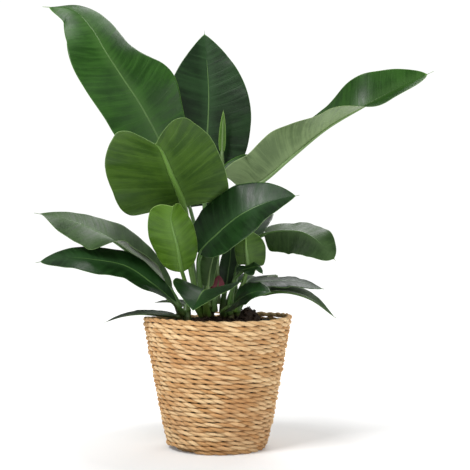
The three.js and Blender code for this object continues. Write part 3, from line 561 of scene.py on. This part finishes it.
# %% Helpers for finishes
class Finish:
    """A material under construction: add() puts in a node, and each helper returns an output socket."""

    def __init__(self, name):
        self.material = bpy.data.materials.new(name)
        self.material.use_nodes = True
        self.tree = self.material.node_tree
        self.shader = self.tree.nodes["Principled BSDF"]

    def put(self, socket, value):
        if isinstance(value, bpy.types.NodeSocket):
            self.tree.links.new(value, socket)
        else:
            socket.default_value = value

    def add(self, kind, *values, output=0, **settings):
        node = self.tree.nodes.new("ShaderNode" + kind)
        inputs = {k: v for k, v in settings.items() if k[0].isupper()}
        for key, value in settings.items():
            if key not in inputs:
                setattr(node, key, value)
        for socket, value in list(zip(node.inputs, values)) + [(node.inputs[k.replace("_", " ")], v)
                                                               for k, v in inputs.items()]:
            self.put(socket, value)
        return node.outputs[output]

    def math(self, operation, *values, clamp=False):
        return self.add("Math", *values, operation=operation, use_clamp=clamp)

    def band(self, value, low, high, out_low=0.0, out_high=1.0):
        return self.add("MapRange", value, low, high, out_low, out_high, interpolation_type="SMOOTHSTEP")

    def value(self, name):
        return self.add("Attribute", attribute_name=name, output=2)

    def noise(self, scale, detail=3.0, roughness=0.55, where=None, stretch=(1, 1, 1)):
        where = where or self.add("TexCoord", output=3)
        moved = self.add("Mapping", Vector=where, Scale=stretch)
        return self.add("TexNoise", Vector=moved, Scale=scale, Detail=detail, Roughness=roughness)

    def mix(self, share, one, two, blend="MIX"):
        node = self.tree.nodes.new("ShaderNodeMix")
        node.data_type, node.blend_type = "RGBA", blend
        for socket, value in ((node.inputs[0], share), (node.inputs[6], one), (node.inputs[7], two)):
            self.put(socket, (*value, 1.0) if isinstance(value, tuple) else value)
        return node.outputs[2]

    def bump(self, height, strength, distance, under=None):
        node = self.tree.nodes.new("ShaderNodeBump")
        for key, value in (("Height", height), ("Strength", strength), ("Distance", distance),
                           ("Normal", under)):
            if value is not None:
                self.put(node.inputs[key], value)
        return node.outputs[0]

    def done(self, color, roughness, normal=None, **uniform):
        for key, value in (("Base Color", color), ("Roughness", roughness), ("Normal", normal)):
            if value is not None:
                self.put(self.shader.inputs[key], value)
        for key, value in uniform.items():
            self.shader.inputs[key.replace("_", " ")].default_value = value
        return self.material


# %% [markdown]
# ## Leaf finishes
# A leaf's skin is coloured by its veins. The blade's stored vein count draws a thin pale line along
# each side vein and many finer ones between them. Noise makes the green uneven, and noise stretched
# along the veins makes the broad strokes that run from midrib to margin. The green turns lighter
# next to the midrib, and the very margin is a thin pale line. The upper skin is smooth and waxy with
# a soft shine, and the lower one is lighter and duller. The gloss comes from roughness alone.

# %% Leaf finishes
def leaf_skin(name, base, light, vein, margin, roughness, vein_strength=0.12, mottle=0.6):
    """One side of a leaf: noise mixes the greens base and light; vein and margin are the pale ones."""
    f = Finish(name)
    phase, across, inward = f.value("veins"), f.value("across"), f.value("inward")
    blotch = f.noise(22, 4)
    fine = f.noise(240, 3)
    wobble = f.noise(60, 2)
    phase = f.math("ADD", phase, f.math("MULTIPLY", wobble, 0.12))
    gap = f.math("ABSOLUTE", f.math("SUBTRACT", f.math("FRACT", phase), 0.5))
    side_vein = f.band(gap, 0.0, 0.07, 1.0, 0.0)
    fine_wave = f.math("SINE", f.math("MULTIPLY", phase, 2 * math.pi * 9))
    finer_wave = f.math("SINE", f.math("MULTIPLY", phase, 2 * math.pi * 23))
    streak = f.math("ADD", f.math("MULTIPLY", fine_wave, 0.6), f.math("MULTIPLY", finer_wave, 0.4))
    middle = f.band(f.math("ABSOLUTE", across), 1.0, 16.0, 1.0, 0.0)
    place = f.add("CombineXYZ", f.math("MULTIPLY", phase, 2.4), f.math("MULTIPLY", across, 0.016), 0.0)
    stroke = f.noise(1.0, 5, 0.6, where=place)
    uneven = f.math("ADD", f.math("MULTIPLY", blotch, 0.5), f.math("MULTIPLY", stroke, 0.5))
    color = f.mix(f.band(uneven, 0.40, 0.60), tuple(0.8 * c for c in base), light)
    color = f.mix(f.band(streak, -1.0, 1.0, 0.0, mottle * 0.5), color, tuple(0.55 * c for c in base))
    color = f.mix(f.math("MULTIPLY", side_vein, vein_strength), color, vein)
    color = f.mix(f.math("MULTIPLY", middle, 0.35), color, vein)
    color = f.mix(f.band(fine, 0.55, 0.8, 0.0, 0.15), color, light)
    color = f.mix(f.band(inward, 0.25, 0.9, 0.8, 0.0), color, margin)
    worn = f.math("ADD", stroke, f.math("MULTIPLY", fine, 0.3))
    rough = f.band(worn, 0.4, 0.9, roughness - 0.06, roughness + 0.12)
    veins_high = f.math("ADD", f.math("MULTIPLY", streak, 0.25), f.math("MULTIPLY", side_vein, -0.8))
    normal = f.bump(veins_high, 0.25, 0.0003)
    normal = f.bump(fine, 0.12, 0.0003, normal)
    return f.done(color, rough, normal, Specular_IOR_Level=0.26)


UPPER = {
    "deep": leaf_skin("leaf_deep_upper", (0.004, 0.021, 0.003), (0.009, 0.040, 0.006), (0.030, 0.080, 0.025),
                      (0.07, 0.16, 0.035), 0.36),
    "mid": leaf_skin("leaf_mid_upper", (0.012, 0.056, 0.003), (0.022, 0.085, 0.006), (0.060, 0.14, 0.030),
                     (0.12, 0.25, 0.05), 0.38),
    "fresh": leaf_skin("leaf_fresh_upper", (0.036, 0.100, 0.005), (0.062, 0.150, 0.010), (0.12, 0.24, 0.05),
                       (0.20, 0.34, 0.08), 0.34),
    "sage": leaf_skin("leaf_sage_upper", (0.018, 0.050, 0.008), (0.034, 0.078, 0.016), (0.070, 0.13, 0.042),
                      (0.12, 0.22, 0.06), 0.42),
}
LOWER = {
    "fresh": leaf_skin("leaf_fresh_lower", (0.030, 0.082, 0.005), (0.052, 0.118, 0.009), (0.10, 0.20, 0.035),
                       (0.20, 0.33, 0.10), 0.46, 0.2),
    "pale": leaf_skin("leaf_pale_lower", (0.105, 0.165, 0.062), (0.155, 0.225, 0.095), (0.20, 0.28, 0.12),
                      (0.24, 0.33, 0.14), 0.50, 0.2, 0.3),
    "dull": leaf_skin("leaf_dull_lower", (0.050, 0.085, 0.032), (0.078, 0.120, 0.048), (0.11, 0.17, 0.07),
                      (0.16, 0.24, 0.09), 0.50, 0.15),
    "young": leaf_skin("leaf_young_lower", (0.055, 0.135, 0.007), (0.085, 0.185, 0.014), (0.15, 0.29, 0.05),
                       (0.26, 0.40, 0.11), 0.38, 0.15),
}


def stalk_skin(name, base, light):
    """Smooth green stalk with fine lengthwise streaks, reddish brown where it leaves the soil."""
    f = Finish(name)
    height = f.add("SeparateXYZ", f.add("TexCoord", output=3), output=2)
    streak = f.noise(0.9, 3, where=f.add("CombineXYZ", f.math("MULTIPLY", f.value("across"), 1.6),
                                         f.math("MULTIPLY", f.value("along"), 0.05), 0.0))
    blotch = f.noise(45, 3)
    color = f.mix(f.band(streak, 0.35, 0.7), base, light)
    low = f.math("MULTIPLY", f.band(height, 0.178, 0.212, 1.0, 0.0), f.band(blotch, 0.4, 0.62))
    color = f.mix(f.math("MULTIPLY", low, 0.7), color, (0.12, 0.055, 0.035))
    return f.done(color, f.band(blotch, 0.3, 0.7, 0.34, 0.46), f.bump(streak, 0.25, 0.0004))


STALK = {
    "deep": stalk_skin("stalk_deep", (0.030, 0.075, 0.022), (0.050, 0.110, 0.032)),
    "mid": stalk_skin("stalk_mid", (0.055, 0.125, 0.025), (0.085, 0.175, 0.040)),
    "fresh": stalk_skin("stalk_fresh", (0.090, 0.190, 0.028), (0.130, 0.250, 0.045)),
    "pale": stalk_skin("stalk_pale", (0.110, 0.190, 0.055), (0.160, 0.250, 0.085)),
}

# %% [markdown]
# Now each leaf gets its three finishes: upper side, lower side, stalk. The plant has dark old
# leaves, mid-green grown ones and bright young ones, and backs that run from yellow green to grey green.
# The tall back leaf's deep green is partly painted shade, because that leaf stands in shade.

# %% Make the leaves
LOOKS = {
    "leaf_tall_left": ("mid", "fresh", "mid", "leaf_mid"),
    "leaf_big_front": ("fresh", "fresh", "fresh", "leaf_mid"),
    "leaf_young_front": ("fresh", "young", "fresh", "leaf_bright"),
    # the deep green here is partly painted shade: this leaf stands in shade
    "leaf_tall_back": ("deep", "dull", "mid", "leaf_dark"),
    "new_leaf_spear": ("fresh", "pale", "pale", "leaf_bright"),
    "leaf_long_right": ("mid", "pale", "pale", "leaf_mid"),
    "leaf_side_right": ("sage", "dull", "mid", "leaf_dark"),
    "leaf_young_right": ("fresh", "fresh", "fresh", "leaf_bright"),
    "leaf_arching_right": ("sage", "dull", "mid", "leaf_dark"),
    "leaf_upper_left": ("sage", "dull", "mid", "leaf_dark"),
    "leaf_low_front": ("deep", "fresh", "fresh", "leaf_dark"),
    "leaf_inner_pale": ("sage", "pale", "pale", "leaf_pale"),
}
USUAL_LOOK = ("deep", "dull", "mid", "leaf_dark")
for number, leaf in enumerate(LEAVES):
    if leaf["name"] == "red_sheath":
        continue
    upper, lower, stalk, slot = LOOKS.get(leaf["name"], USUAL_LOOK)
    line = leaf_line(leaf)
    body = join([blade_body(leaf, line, np.random.default_rng(100 + number)), stalk_body(leaf, line)])
    piece = new_piece(leaf["name"] + "_blade", body, [UPPER[upper], LOWER[lower], STALK[stalk]],
                      node=leaf["name"])

# %% [markdown]
# ## The red sheath and the shoots
# A new leaf grows inside a sheath, and when the leaf has unrolled the sheath stays behind, red and
# drying. It is a small blade, so it uses the leaf's own surface with a papery red finish. The three
# shoots are short stems. Their profile is turned round, with a ring where each old leaf sat and a little
# unevenness, so they don't look lathe-made.

# %% Red sheath
def sheath_skin():
    f = Finish("sheath_red")
    along = f.noise(1.0, 4, where=f.add("CombineXYZ", f.math("MULTIPLY", f.value("across"), 1.4),
                                        f.math("MULTIPLY", f.value("along"), 0.06), 0.0))
    blotch = f.noise(120, 4)
    color = f.mix(f.band(along, 0.3, 0.7), (0.11, 0.012, 0.022), (0.24, 0.035, 0.055))
    color = f.mix(f.band(blotch, 0.5, 0.75, 0.0, 0.6), color, (0.10, 0.05, 0.03))
    return f.done(color, f.band(along, 0.3, 0.7, 0.45, 0.6), f.bump(along, 0.5, 0.0005))


sheath = next(leaf for leaf in LEAVES if leaf["name"] == "red_sheath")
sheath_line = leaf_line(sheath)
SHEATH_FINISH = sheath_skin()
new_piece("red_sheath_blade", join([blade_body(sheath, sheath_line, np.random.default_rng(99)),
                                    stalk_body(sheath, sheath_line)]),
          [SHEATH_FINISH, SHEATH_FINISH, STALK["mid"]], node="red_sheath")

# %% Shoots
SHOOT_FOOT = 150.0


SHOOT_ROWS, SHOOT_COLUMNS = 60, 28
SCAR_SPACING, SCAR_WIDTH, SCAR_RISE = 9, 1.1, 0.07


def shoot_body(shoot, rng):
    """Tube straight up: radius is the shoot's own, with leaf-scar rings, an uneven skin and a round top."""
    z = np.linspace(SHOOT_FOOT, shoot["top"], SHOOT_ROWS)
    radius = shoot["radius"] * (np.clip((shoot["top"] - z) / (1.6 * shoot["radius"]), 0.0004, 1) ** 0.5)
    radius = radius * (1 + SCAR_RISE * np.exp(-((np.mod(z, SCAR_SPACING) - SCAR_SPACING / 2) / SCAR_WIDTH) ** 2))
    turn = np.linspace(0, 2 * np.pi, SHOOT_COLUMNS, endpoint=False)
    uneven = 1 + 0.04 * np.sin(3 * turn + rng.uniform(0, 6)) + 0.02 * np.sin(7 * turn + z[:, None] / 6)
    place = np.stack([np.full_like(z, shoot["at"][0]), np.full_like(z, shoot["at"][1]), z], -1)
    up, right = np.tile((0.0, 1.0, 0.0), (SHOOT_ROWS, 1)), np.tile((-1.0, 0.0, 0.0), (SHOOT_ROWS, 1))
    values = dict(along=z[:, None], across=radius[:, None] * turn, inward=np.full((1, 1), 50.0),
                  veins=np.zeros((1, 1)))
    return tube_body(place, up, right, radius[:, None] * uneven, values, 0)


for number, (name, shoot) in enumerate(SHOOTS.items()):
    new_piece("shoot_" + name + "_stem", shoot_body(shoot, np.random.default_rng(40 + number)),
              [STALK["mid"]], node="shoot_" + name)

# %% [markdown]
# ## The seagrass basket
# The basket is one long rope, wound in a flat spiral for the base and then row on row up the wall.
# The rope is two strands twisted together. Carrying a profile along a path suits it: the path is the
# spiral, and the profile is the outline of two round strands side by side, turned a little further at
# each step. The columns of the grid follow the strands, so the creases between
# them stay sharp. Random numbers, one for each place where a strand comes round, vary its thickness and tint,
# because no two handfuls of grass are alike.

# %% The rope's path
BASKET_HEIGHT, BASE_RADIUS, RIM_RADIUS, BELLY = 186.0, 71.0, 106.0, 1.5
ROPE_RADIUS = 3.55
ROWS = 28
ROW_PITCH = (BASKET_HEIGHT - 2 * ROPE_RADIUS) / (ROWS - 1)
LAST_ROW = ROWS - 0.4
TWIST_LENGTH = 34.0
CORNER = 14.0
ROPE_END_TURN = -119.0
STEP_SHARE = 0.5


def basket_radius(z):
    share = np.clip(z / BASKET_HEIGHT, 0, 1)
    return BASE_RADIUS + (RIM_RADIUS - BASE_RADIUS) * share + BELLY * np.sin(np.pi * share)


def wall_path(first, last, per_turn=560):
    """Centre of the rope from row first to row last: each row is level for most of its way round and
    climbs to the next one over the last part of it."""
    row = np.linspace(first, last, int((last - first) * per_turn) + 1)
    turn = math.radians(ROPE_END_TURN) + 2 * np.pi * row
    climb = np.minimum(np.floor(row) + ease((row % 1 - STEP_SHARE) / (1 - STEP_SHARE)), ROWS - 0.9)
    z = ROPE_RADIUS + ROW_PITCH * climb
    height = np.clip(z / BASKET_HEIGHT, 0, 1)
    z = z + height**2 * (0.9 * np.sin(turn * 2 + 0.6) + 0.7 * np.sin(3 * turn + 2.2) + 0.3 * np.sin(row * 23.7))
    r = basket_radius(z) - ROPE_RADIUS - 5.0 * np.clip(1 - z / CORNER, 0, 1) ** 2
    r = (r + 0.35 * np.sin(row * 2 * np.pi * 1.37) + 0.3 * np.sin(row * 2 * np.pi * 4.6 + 1.0)
         + height * 0.8 * np.sin(2 * turn))
    return np.stack([r * np.cos(turn), r * np.sin(turn), z], -1)


def base_path(per_turn=260):
    """Centre of the rope in the base: a flat spiral, one rope wide at each turn, out to the wall."""
    turns = (BASE_RADIUS - ROPE_RADIUS - 4.0) / ROW_PITCH
    row = np.linspace(0.35, turns - 0.4, int(turns * per_turn))
    turn = 2 * np.pi * row
    r = ROW_PITCH * row
    return np.stack([r * np.cos(turn), r * np.sin(turn), np.full_like(r, ROPE_RADIUS)], -1)


# %% The rope as a mesh
STRAND_RADIUS, STRAND_OFFSET = 2.45, 1.15
ROPE_AROUND = 16
rope_tints = chance.uniform(-1, 1, (2, 700))
rope_bulk = chance.uniform(-1, 1, (2, 700))


def rope_body(path, offset=0.0, thin_start=False, thin_end=False):
    """Two-strand rope round a path. The profile's radius at angle b from the first strand's middle is
    d cos b + sqrt(R^2 - d^2 sin^2 b) for the nearer strand, and it turns by one circle each twist length."""
    along = np.concatenate([[0], np.cumsum(np.linalg.norm(np.diff(path, axis=0), axis=1))]) + offset
    forward = unit(np.gradient(path, axis=0))
    outward = unit(path * (1, 1, 0))
    outward = unit(outward - (outward * forward).sum(-1, keepdims=True) * forward)
    up = np.cross(outward, forward)
    up = up * np.sign(up[:, 2:3])
    twist = (-2 * np.pi * along / TWIST_LENGTH + 1.6 * np.sin(along / 97.0) + 1.0 * np.sin(along / 41.0 + 2.0)
             + 0.4 * np.sin(along / 17.0))
    around = np.linspace(0, 2 * np.pi, ROPE_AROUND, endpoint=False) + np.pi / ROPE_AROUND
    strand = (np.cos(around) < 0).astype(int)
    bend = np.abs(np.sin(around))
    profile = STRAND_OFFSET * np.abs(np.cos(around)) + np.sqrt(STRAND_RADIUS**2 - (STRAND_OFFSET * bend) ** 2)
    cycle = -twist / (2 * np.pi)
    tint, bulk = (np.stack([np.interp(cycle - 0.5 * k, np.arange(table.shape[1]) - 2, table[k])
                            for k in (0, 1)], -1)[:, strand] for table in (rope_tints, rope_bulk))
    radius = profile * (1 + 0.2 * bulk) * (1 + 0.03 * np.sin(along[:, None] / 2.3 + 3 * around))
    ends = np.ones(len(along))
    if thin_start:
        ends = ends * np.sqrt(np.clip((along - along[0]) / 14, 0.02, 1))
    if thin_end:
        ends = ends * np.sqrt(np.clip((along[-1] - along) / 70, 0.02, 1))
    angle = twist[:, None] + around
    direction = outward[:, None] * np.cos(angle)[..., None] + up[:, None] * np.sin(angle)[..., None]
    rings = path[:, None] + direction * (radius * ends[:, None])[..., None]
    n, last = len(along) * ROPE_AROUND, (len(along) - 1) * ROPE_AROUND
    ring = np.arange(ROPE_AROUND)
    nxt = (ring + 1) % ROPE_AROUND
    faces = grid_faces(len(along), ROPE_AROUND, closed=True)
    caps = [np.stack([nxt, ring, np.full(ROPE_AROUND, n)], -1),
            np.stack([ring + last, nxt + last, np.full(ROPE_AROUND, n + 1)], -1)]
    add_ends = lambda v: np.concatenate([np.broadcast_to(v, (len(along), ROPE_AROUND)).ravel(), [0.0, 0.0]])
    across = np.where(strand, around - np.pi, np.where(around > np.pi, around - 2 * np.pi, around))
    values = dict(along=add_ends(along[:, None]), across=add_ends(STRAND_RADIUS * across), tint=add_ends(tint),
                  crease=add_ends(bend**4 * np.ones_like(tint)), strand=add_ends(strand * 9.0 + np.zeros_like(tint)))
    body = dict(points=np.vstack([rings.reshape(-1, 3), path[:1], path[-1:]]), faces=[faces] + caps,
                which=[0, 0, 0], values=values)
    return body, along[-1]


# %% [markdown]
# Dry seagrass is a bundle of flat golden blades. Its finish stretches noise along each
# strand for the separate fibres and tints each strand by the number stored for it. It paints shade into the
# creases between the strands and into the gaps between fibres, and paints highlights on a few fibres.
# A bump from the same fibre noise roughens it.

# %% Seagrass finish
def seagrass_skin():
    f = Finish("seagrass")
    along, across, tint = f.value("along"), f.value("across"), f.value("tint")
    place = f.add("CombineXYZ", f.math("MULTIPLY", along, 0.16), f.math("MULTIPLY", across, 1.5), f.value("strand"))
    fibre = f.noise(1.0, 5, 0.65, where=place)
    thread = f.noise(2.6, 4, 0.6, where=place)
    patch = f.noise(14, 3)
    speck = f.noise(420, 3)
    color = f.mix(f.band(fibre, 0.3, 0.7), (0.52, 0.27, 0.095), (0.80, 0.50, 0.215))
    brown, pale = f.mix(0.45, color, (0.46, 0.215, 0.075)), f.mix(0.55, color, (0.96, 0.76, 0.46))
    color = f.mix(f.band(tint, -1.0, 1.0), brown, pale)
    color = f.mix(f.band(patch, 0.45, 0.7, 0.0, 0.35), color, (0.50, 0.24, 0.10))
    # painted highlight: a few fibres made paler, as if caught by the light
    color = f.mix(f.band(thread, 0.6, 0.78, 0.0, 0.7), color, (0.90, 0.68, 0.38))
    # painted shade in the gaps between fibres
    color = f.mix(f.band(thread, 0.40, 0.24, 0.0, 0.6), color, (0.20, 0.085, 0.03))
    # painted shade in the creases between the two strands
    color = f.mix(f.band(f.value("crease"), 0.45, 1.0, 0.0, 0.4), color, (0.27, 0.125, 0.045))
    color = f.mix(f.band(speck, 0.66, 0.8, 0.0, 0.5), color, (0.16, 0.08, 0.03))
    normal = f.bump(fibre, 0.9, 0.0011)
    normal = f.bump(thread, 0.7, 0.0006, normal)
    return f.done(color, f.band(fibre, 0.3, 0.7, 0.82, 0.6), normal, Specular_IOR_Level=0.3)


SEAGRASS = seagrass_skin()
path = base_path()
base_rope, reached = rope_body(path, thin_start=True, thin_end=True)
new_piece("basket_base_rope", base_rope, [SEAGRASS], node="basket")
SECTIONS = 4
for k in range(SECTIONS):
    path = wall_path(k * LAST_ROW / SECTIONS, (k + 1) * LAST_ROW / SECTIONS)
    rope, reached = rope_body(path, offset=reached, thin_start=k == 0, thin_end=k == SECTIONS - 1)
    new_piece("basket_wall_rope_" + str(k + 1), rope, [SEAGRASS], node="basket")
print("rope length:", round(reached / 1000, 2), "m")

# %% [markdown]
# ## Liner, pot and soil
# Inside the basket stand a thin plastic film, which keeps water off the grass, and the brown
# nursery pot with its rolled lip and drain holes. The pot is exact in the frame, so it stays
# and gets a finish. The film is a turned sheet with creases running down it. The soil's top is a
# heightfield: level by the pot, heaped round the shoots, with noise in three sizes for clods and grains, and loose
# crumbs on top.

# %% Liner
def liner_body():
    """Closed film: an outer grid down from its edge to the middle of the floor and an inner grid back."""
    turn = np.linspace(0, 2 * np.pi, 180, endpoint=False)
    heights = np.concatenate([np.linspace(176, 9, 40), np.full(8, 8.0)])
    inward = np.concatenate([np.full(41, 1.0), np.linspace(0.97, 0.02, 7)])
    z, share = heights[:, None], inward[:, None]
    crinkle = 0.5 * np.sin(17 * turn + z / 30) + 0.35 * np.sin(41 * turn - z / 19) + 0.2 * np.sin(z / 5 + 9 * turn)
    r = (basket_radius(z) - 7.9 + 0.6 * crinkle) * share
    edge = 1.3 * np.sin(11 * turn) * (z > 170)
    ring = lambda radius, height: np.stack([radius * np.cos(turn), radius * np.sin(turn),
                                            height + 0 * radius], -1).reshape(-1, 3)
    n = len(heights) * len(turn)
    outer, inner = ring(r, z + edge), ring(r - 0.35, z + edge + 0.25 * (share < 1))
    top, bottom = (grid_faces(len(heights), len(turn), closed=True) + k * n for k in (0, 1))
    first = np.arange(len(turn))
    nxt = (first + 1) % len(turn)
    lip = np.stack([nxt, first, first + n, nxt + n], -1)
    last = (len(heights) - 1) * len(turn)
    middle = 2 * n
    caps = [np.stack([first + last, nxt + last, np.full_like(first, middle)], -1),
            np.stack([nxt + last + n, first + last + n, np.full_like(first, middle + 1)], -1)]
    points = np.vstack([outer, inner, [[0, 0, 8.0], [0, 0, 8.25]]])
    return dict(points=points, faces=[top[:, ::-1], bottom, lip[:, ::-1], caps[0][:, ::-1], caps[1][:, ::-1]], which=[0] * 5,
                values={})


def plastic_skin(name, base, light, roughness, grain):
    f = Finish(name)
    patch, fine = f.noise(30, 3), f.noise(grain, 3)
    color = f.mix(f.band(patch, 0.35, 0.7), base, light)
    return f.done(color, f.band(patch, 0.3, 0.7, roughness, roughness + 0.12), f.bump(fine, 0.25, 0.0004))


new_piece("basket_liner_film", liner_body(), [plastic_skin("liner_film", (0.012, 0.012, 0.012), (0.024, 0.023, 0.022), 0.3, 90)],
          node="basket_liner")

# %% Nursery pot
POT_FINISH = plastic_skin("pot_plastic", (0.030, 0.016, 0.010), (0.050, 0.028, 0.018), 0.42, 700)
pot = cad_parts["nursery_pot"]
pot.data.materials.clear()
pot.data.materials.append(POT_FINISH)

# %% Soil
POT_FLOOR, POT_DEPTH, POT_BASE, POT_RIM = 8.2, 158.0, 58.0, 84.0
SOIL_LEVEL, SOIL_CROWN = 160.0, 182.0
MOUND_AT, MOUND_TOP, MOUND_RADIUS = (44.0, 33.0), 194.0, 34.0


def pot_inside(z):
    return POT_BASE + (POT_RIM - POT_BASE) * (z - POT_FLOOR) / POT_DEPTH - 1.9


def soil_height(x, y):
    """Level by the wall, heaped as a cosine to the middle, with a second heap and three sizes of clods."""
    edge = pot_inside(SOIL_LEVEL)
    share = np.clip(np.hypot(x, y) / edge, 0, 1)
    z = SOIL_LEVEL + (SOIL_CROWN - SOIL_LEVEL) * np.cos(share * np.pi / 2) ** 0.8
    away = np.clip(np.hypot(x - MOUND_AT[0], y - MOUND_AT[1]) / MOUND_RADIUS, 0, 1)
    z = np.maximum(z, z * (1 - ease(1 - away)) + MOUND_TOP * ease(1 - away))
    rough = sum(height * np.sin(x * a + y * b + c) * np.sin(x * d - y * a + b * 9)
                for height, a, b, c, d in ((1.3, 0.21, 0.13, 1.0, 0.17), (0.9, 0.47, -0.39, 2.0, 0.55),
                                           (0.6, 1.1, 0.83, 0.5, -0.97), (0.35, 2.3, -1.9, 4.0, 2.1)))
    return z + rough * np.clip((1 - share) * 8, 0, 1)


SOIL_COLUMNS, SOIL_RINGS, SOIL_FOOT = 200, 90, 10.5


def soil_body():
    """Closed body: the top as rings out from the middle, then down the wall and back along the floor."""
    turn = np.linspace(0, 2 * np.pi, SOIL_COLUMNS, endpoint=False)
    edge = pot_inside(SOIL_LEVEL)
    share = np.linspace(0.004, 1, SOIL_RINGS)[:, None]
    x, y = edge * share * np.cos(turn), edge * share * np.sin(turn)
    top = np.stack([x, y, soil_height(x, y)], -1)
    foot = pot_inside(SOIL_FOOT)
    side = [np.stack([r * np.cos(turn), r * np.sin(turn), np.full_like(turn, z)], -1)
            for r, z in ((foot, SOIL_FOOT), (foot * 0.5, SOIL_FOOT), (0.3, SOIL_FOOT))]
    rings = np.vstack([top.reshape(-1, 3)] + side)
    rows = SOIL_RINGS + len(side)
    n, last = rows * SOIL_COLUMNS, (rows - 1) * SOIL_COLUMNS
    ring = np.arange(SOIL_COLUMNS)
    nxt = (ring + 1) % SOIL_COLUMNS
    caps = [np.stack([ring, nxt, np.full(SOIL_COLUMNS, n)], -1),
            np.stack([nxt + last, ring + last, np.full(SOIL_COLUMNS, n + 1)], -1)]
    points = np.vstack([rings, [[0, 0, top[0, :, 2].mean()], [0, 0, SOIL_FOOT]]])
    faces = [grid_faces(rows, SOIL_COLUMNS, closed=True)[:, ::-1]] + caps
    return dict(points=points, faces=faces, which=[0] * 3, values={})


CRUMBS = 900


def crumb_bodies(rng):
    """Loose crumbs: small lumps of 20 faces whose corners are pushed in and out at random."""
    golden = (1 + 5**0.5) / 2
    corners = unit(np.array([(a, b, 0) for a in (-1, 1) for b in (-golden, golden)]
                            + [(0, a, b) for a in (-1, 1) for b in (-golden, golden)]
                            + [(b, 0, a) for a in (-1, 1) for b in (-golden, golden)], float))
    side = min(np.linalg.norm(corners[i] - corners[j]) for i, j in combinations(range(12), 2)) * 1.01
    near = lambda *ids: all(np.linalg.norm(corners[i] - corners[j]) < side for i, j in combinations(ids, 2))
    tris = np.array([t for t in combinations(range(12), 3) if near(*t)])
    a, b, c = (corners[tris[:, k]] for k in range(3))
    inside_out = (np.cross(b - a, c - a) * (a + b + c)).sum(-1) < 0
    tris[inside_out] = tris[inside_out][:, ::-1]
    r = pot_inside(SOIL_LEVEL) * 0.97 * np.sqrt(rng.uniform(0, 1, CRUMBS))
    turn = rng.uniform(0, 2 * np.pi, CRUMBS)
    x, y = r * np.cos(turn), r * np.sin(turn)
    size = rng.uniform(0.7, 2.6, CRUMBS) ** 1.15
    shape = rng.uniform(0.6, 1.15, (CRUMBS, 12, 1)) * rng.uniform(0.7, 1.1, (CRUMBS, 1, 3))
    middle = np.stack([x, y, soil_height(x, y) + 0.35 * size], -1)
    points = corners * shape * size[:, None, None] + middle[:, None]
    faces = (tris[None] + 12 * np.arange(CRUMBS)[:, None, None]).reshape(-1, 3)
    return dict(points=points.reshape(-1, 3), faces=[faces], which=[0], values={})


def soil_skin():
    f = Finish("soil")
    clod, grain, patch = f.noise(260, 5, 0.7), f.noise(900, 3), f.noise(28, 3)
    color = f.mix(f.band(clod, 0.3, 0.75), (0.010, 0.006, 0.004), (0.060, 0.034, 0.020))
    color = f.mix(f.band(patch, 0.45, 0.7, 0.0, 0.5), color, (0.030, 0.018, 0.012))
    color = f.mix(f.band(grain, 0.68, 0.8, 0.0, 0.6), color, (0.16, 0.10, 0.055))
    return f.done(color, 0.92, f.bump(clod, 0.9, 0.0015), Specular_IOR_Level=0.25)


new_piece("potting_soil_heap", join([soil_body(), crumb_bodies(np.random.default_rng(3))]), [soil_skin()],
          node="potting_soil")
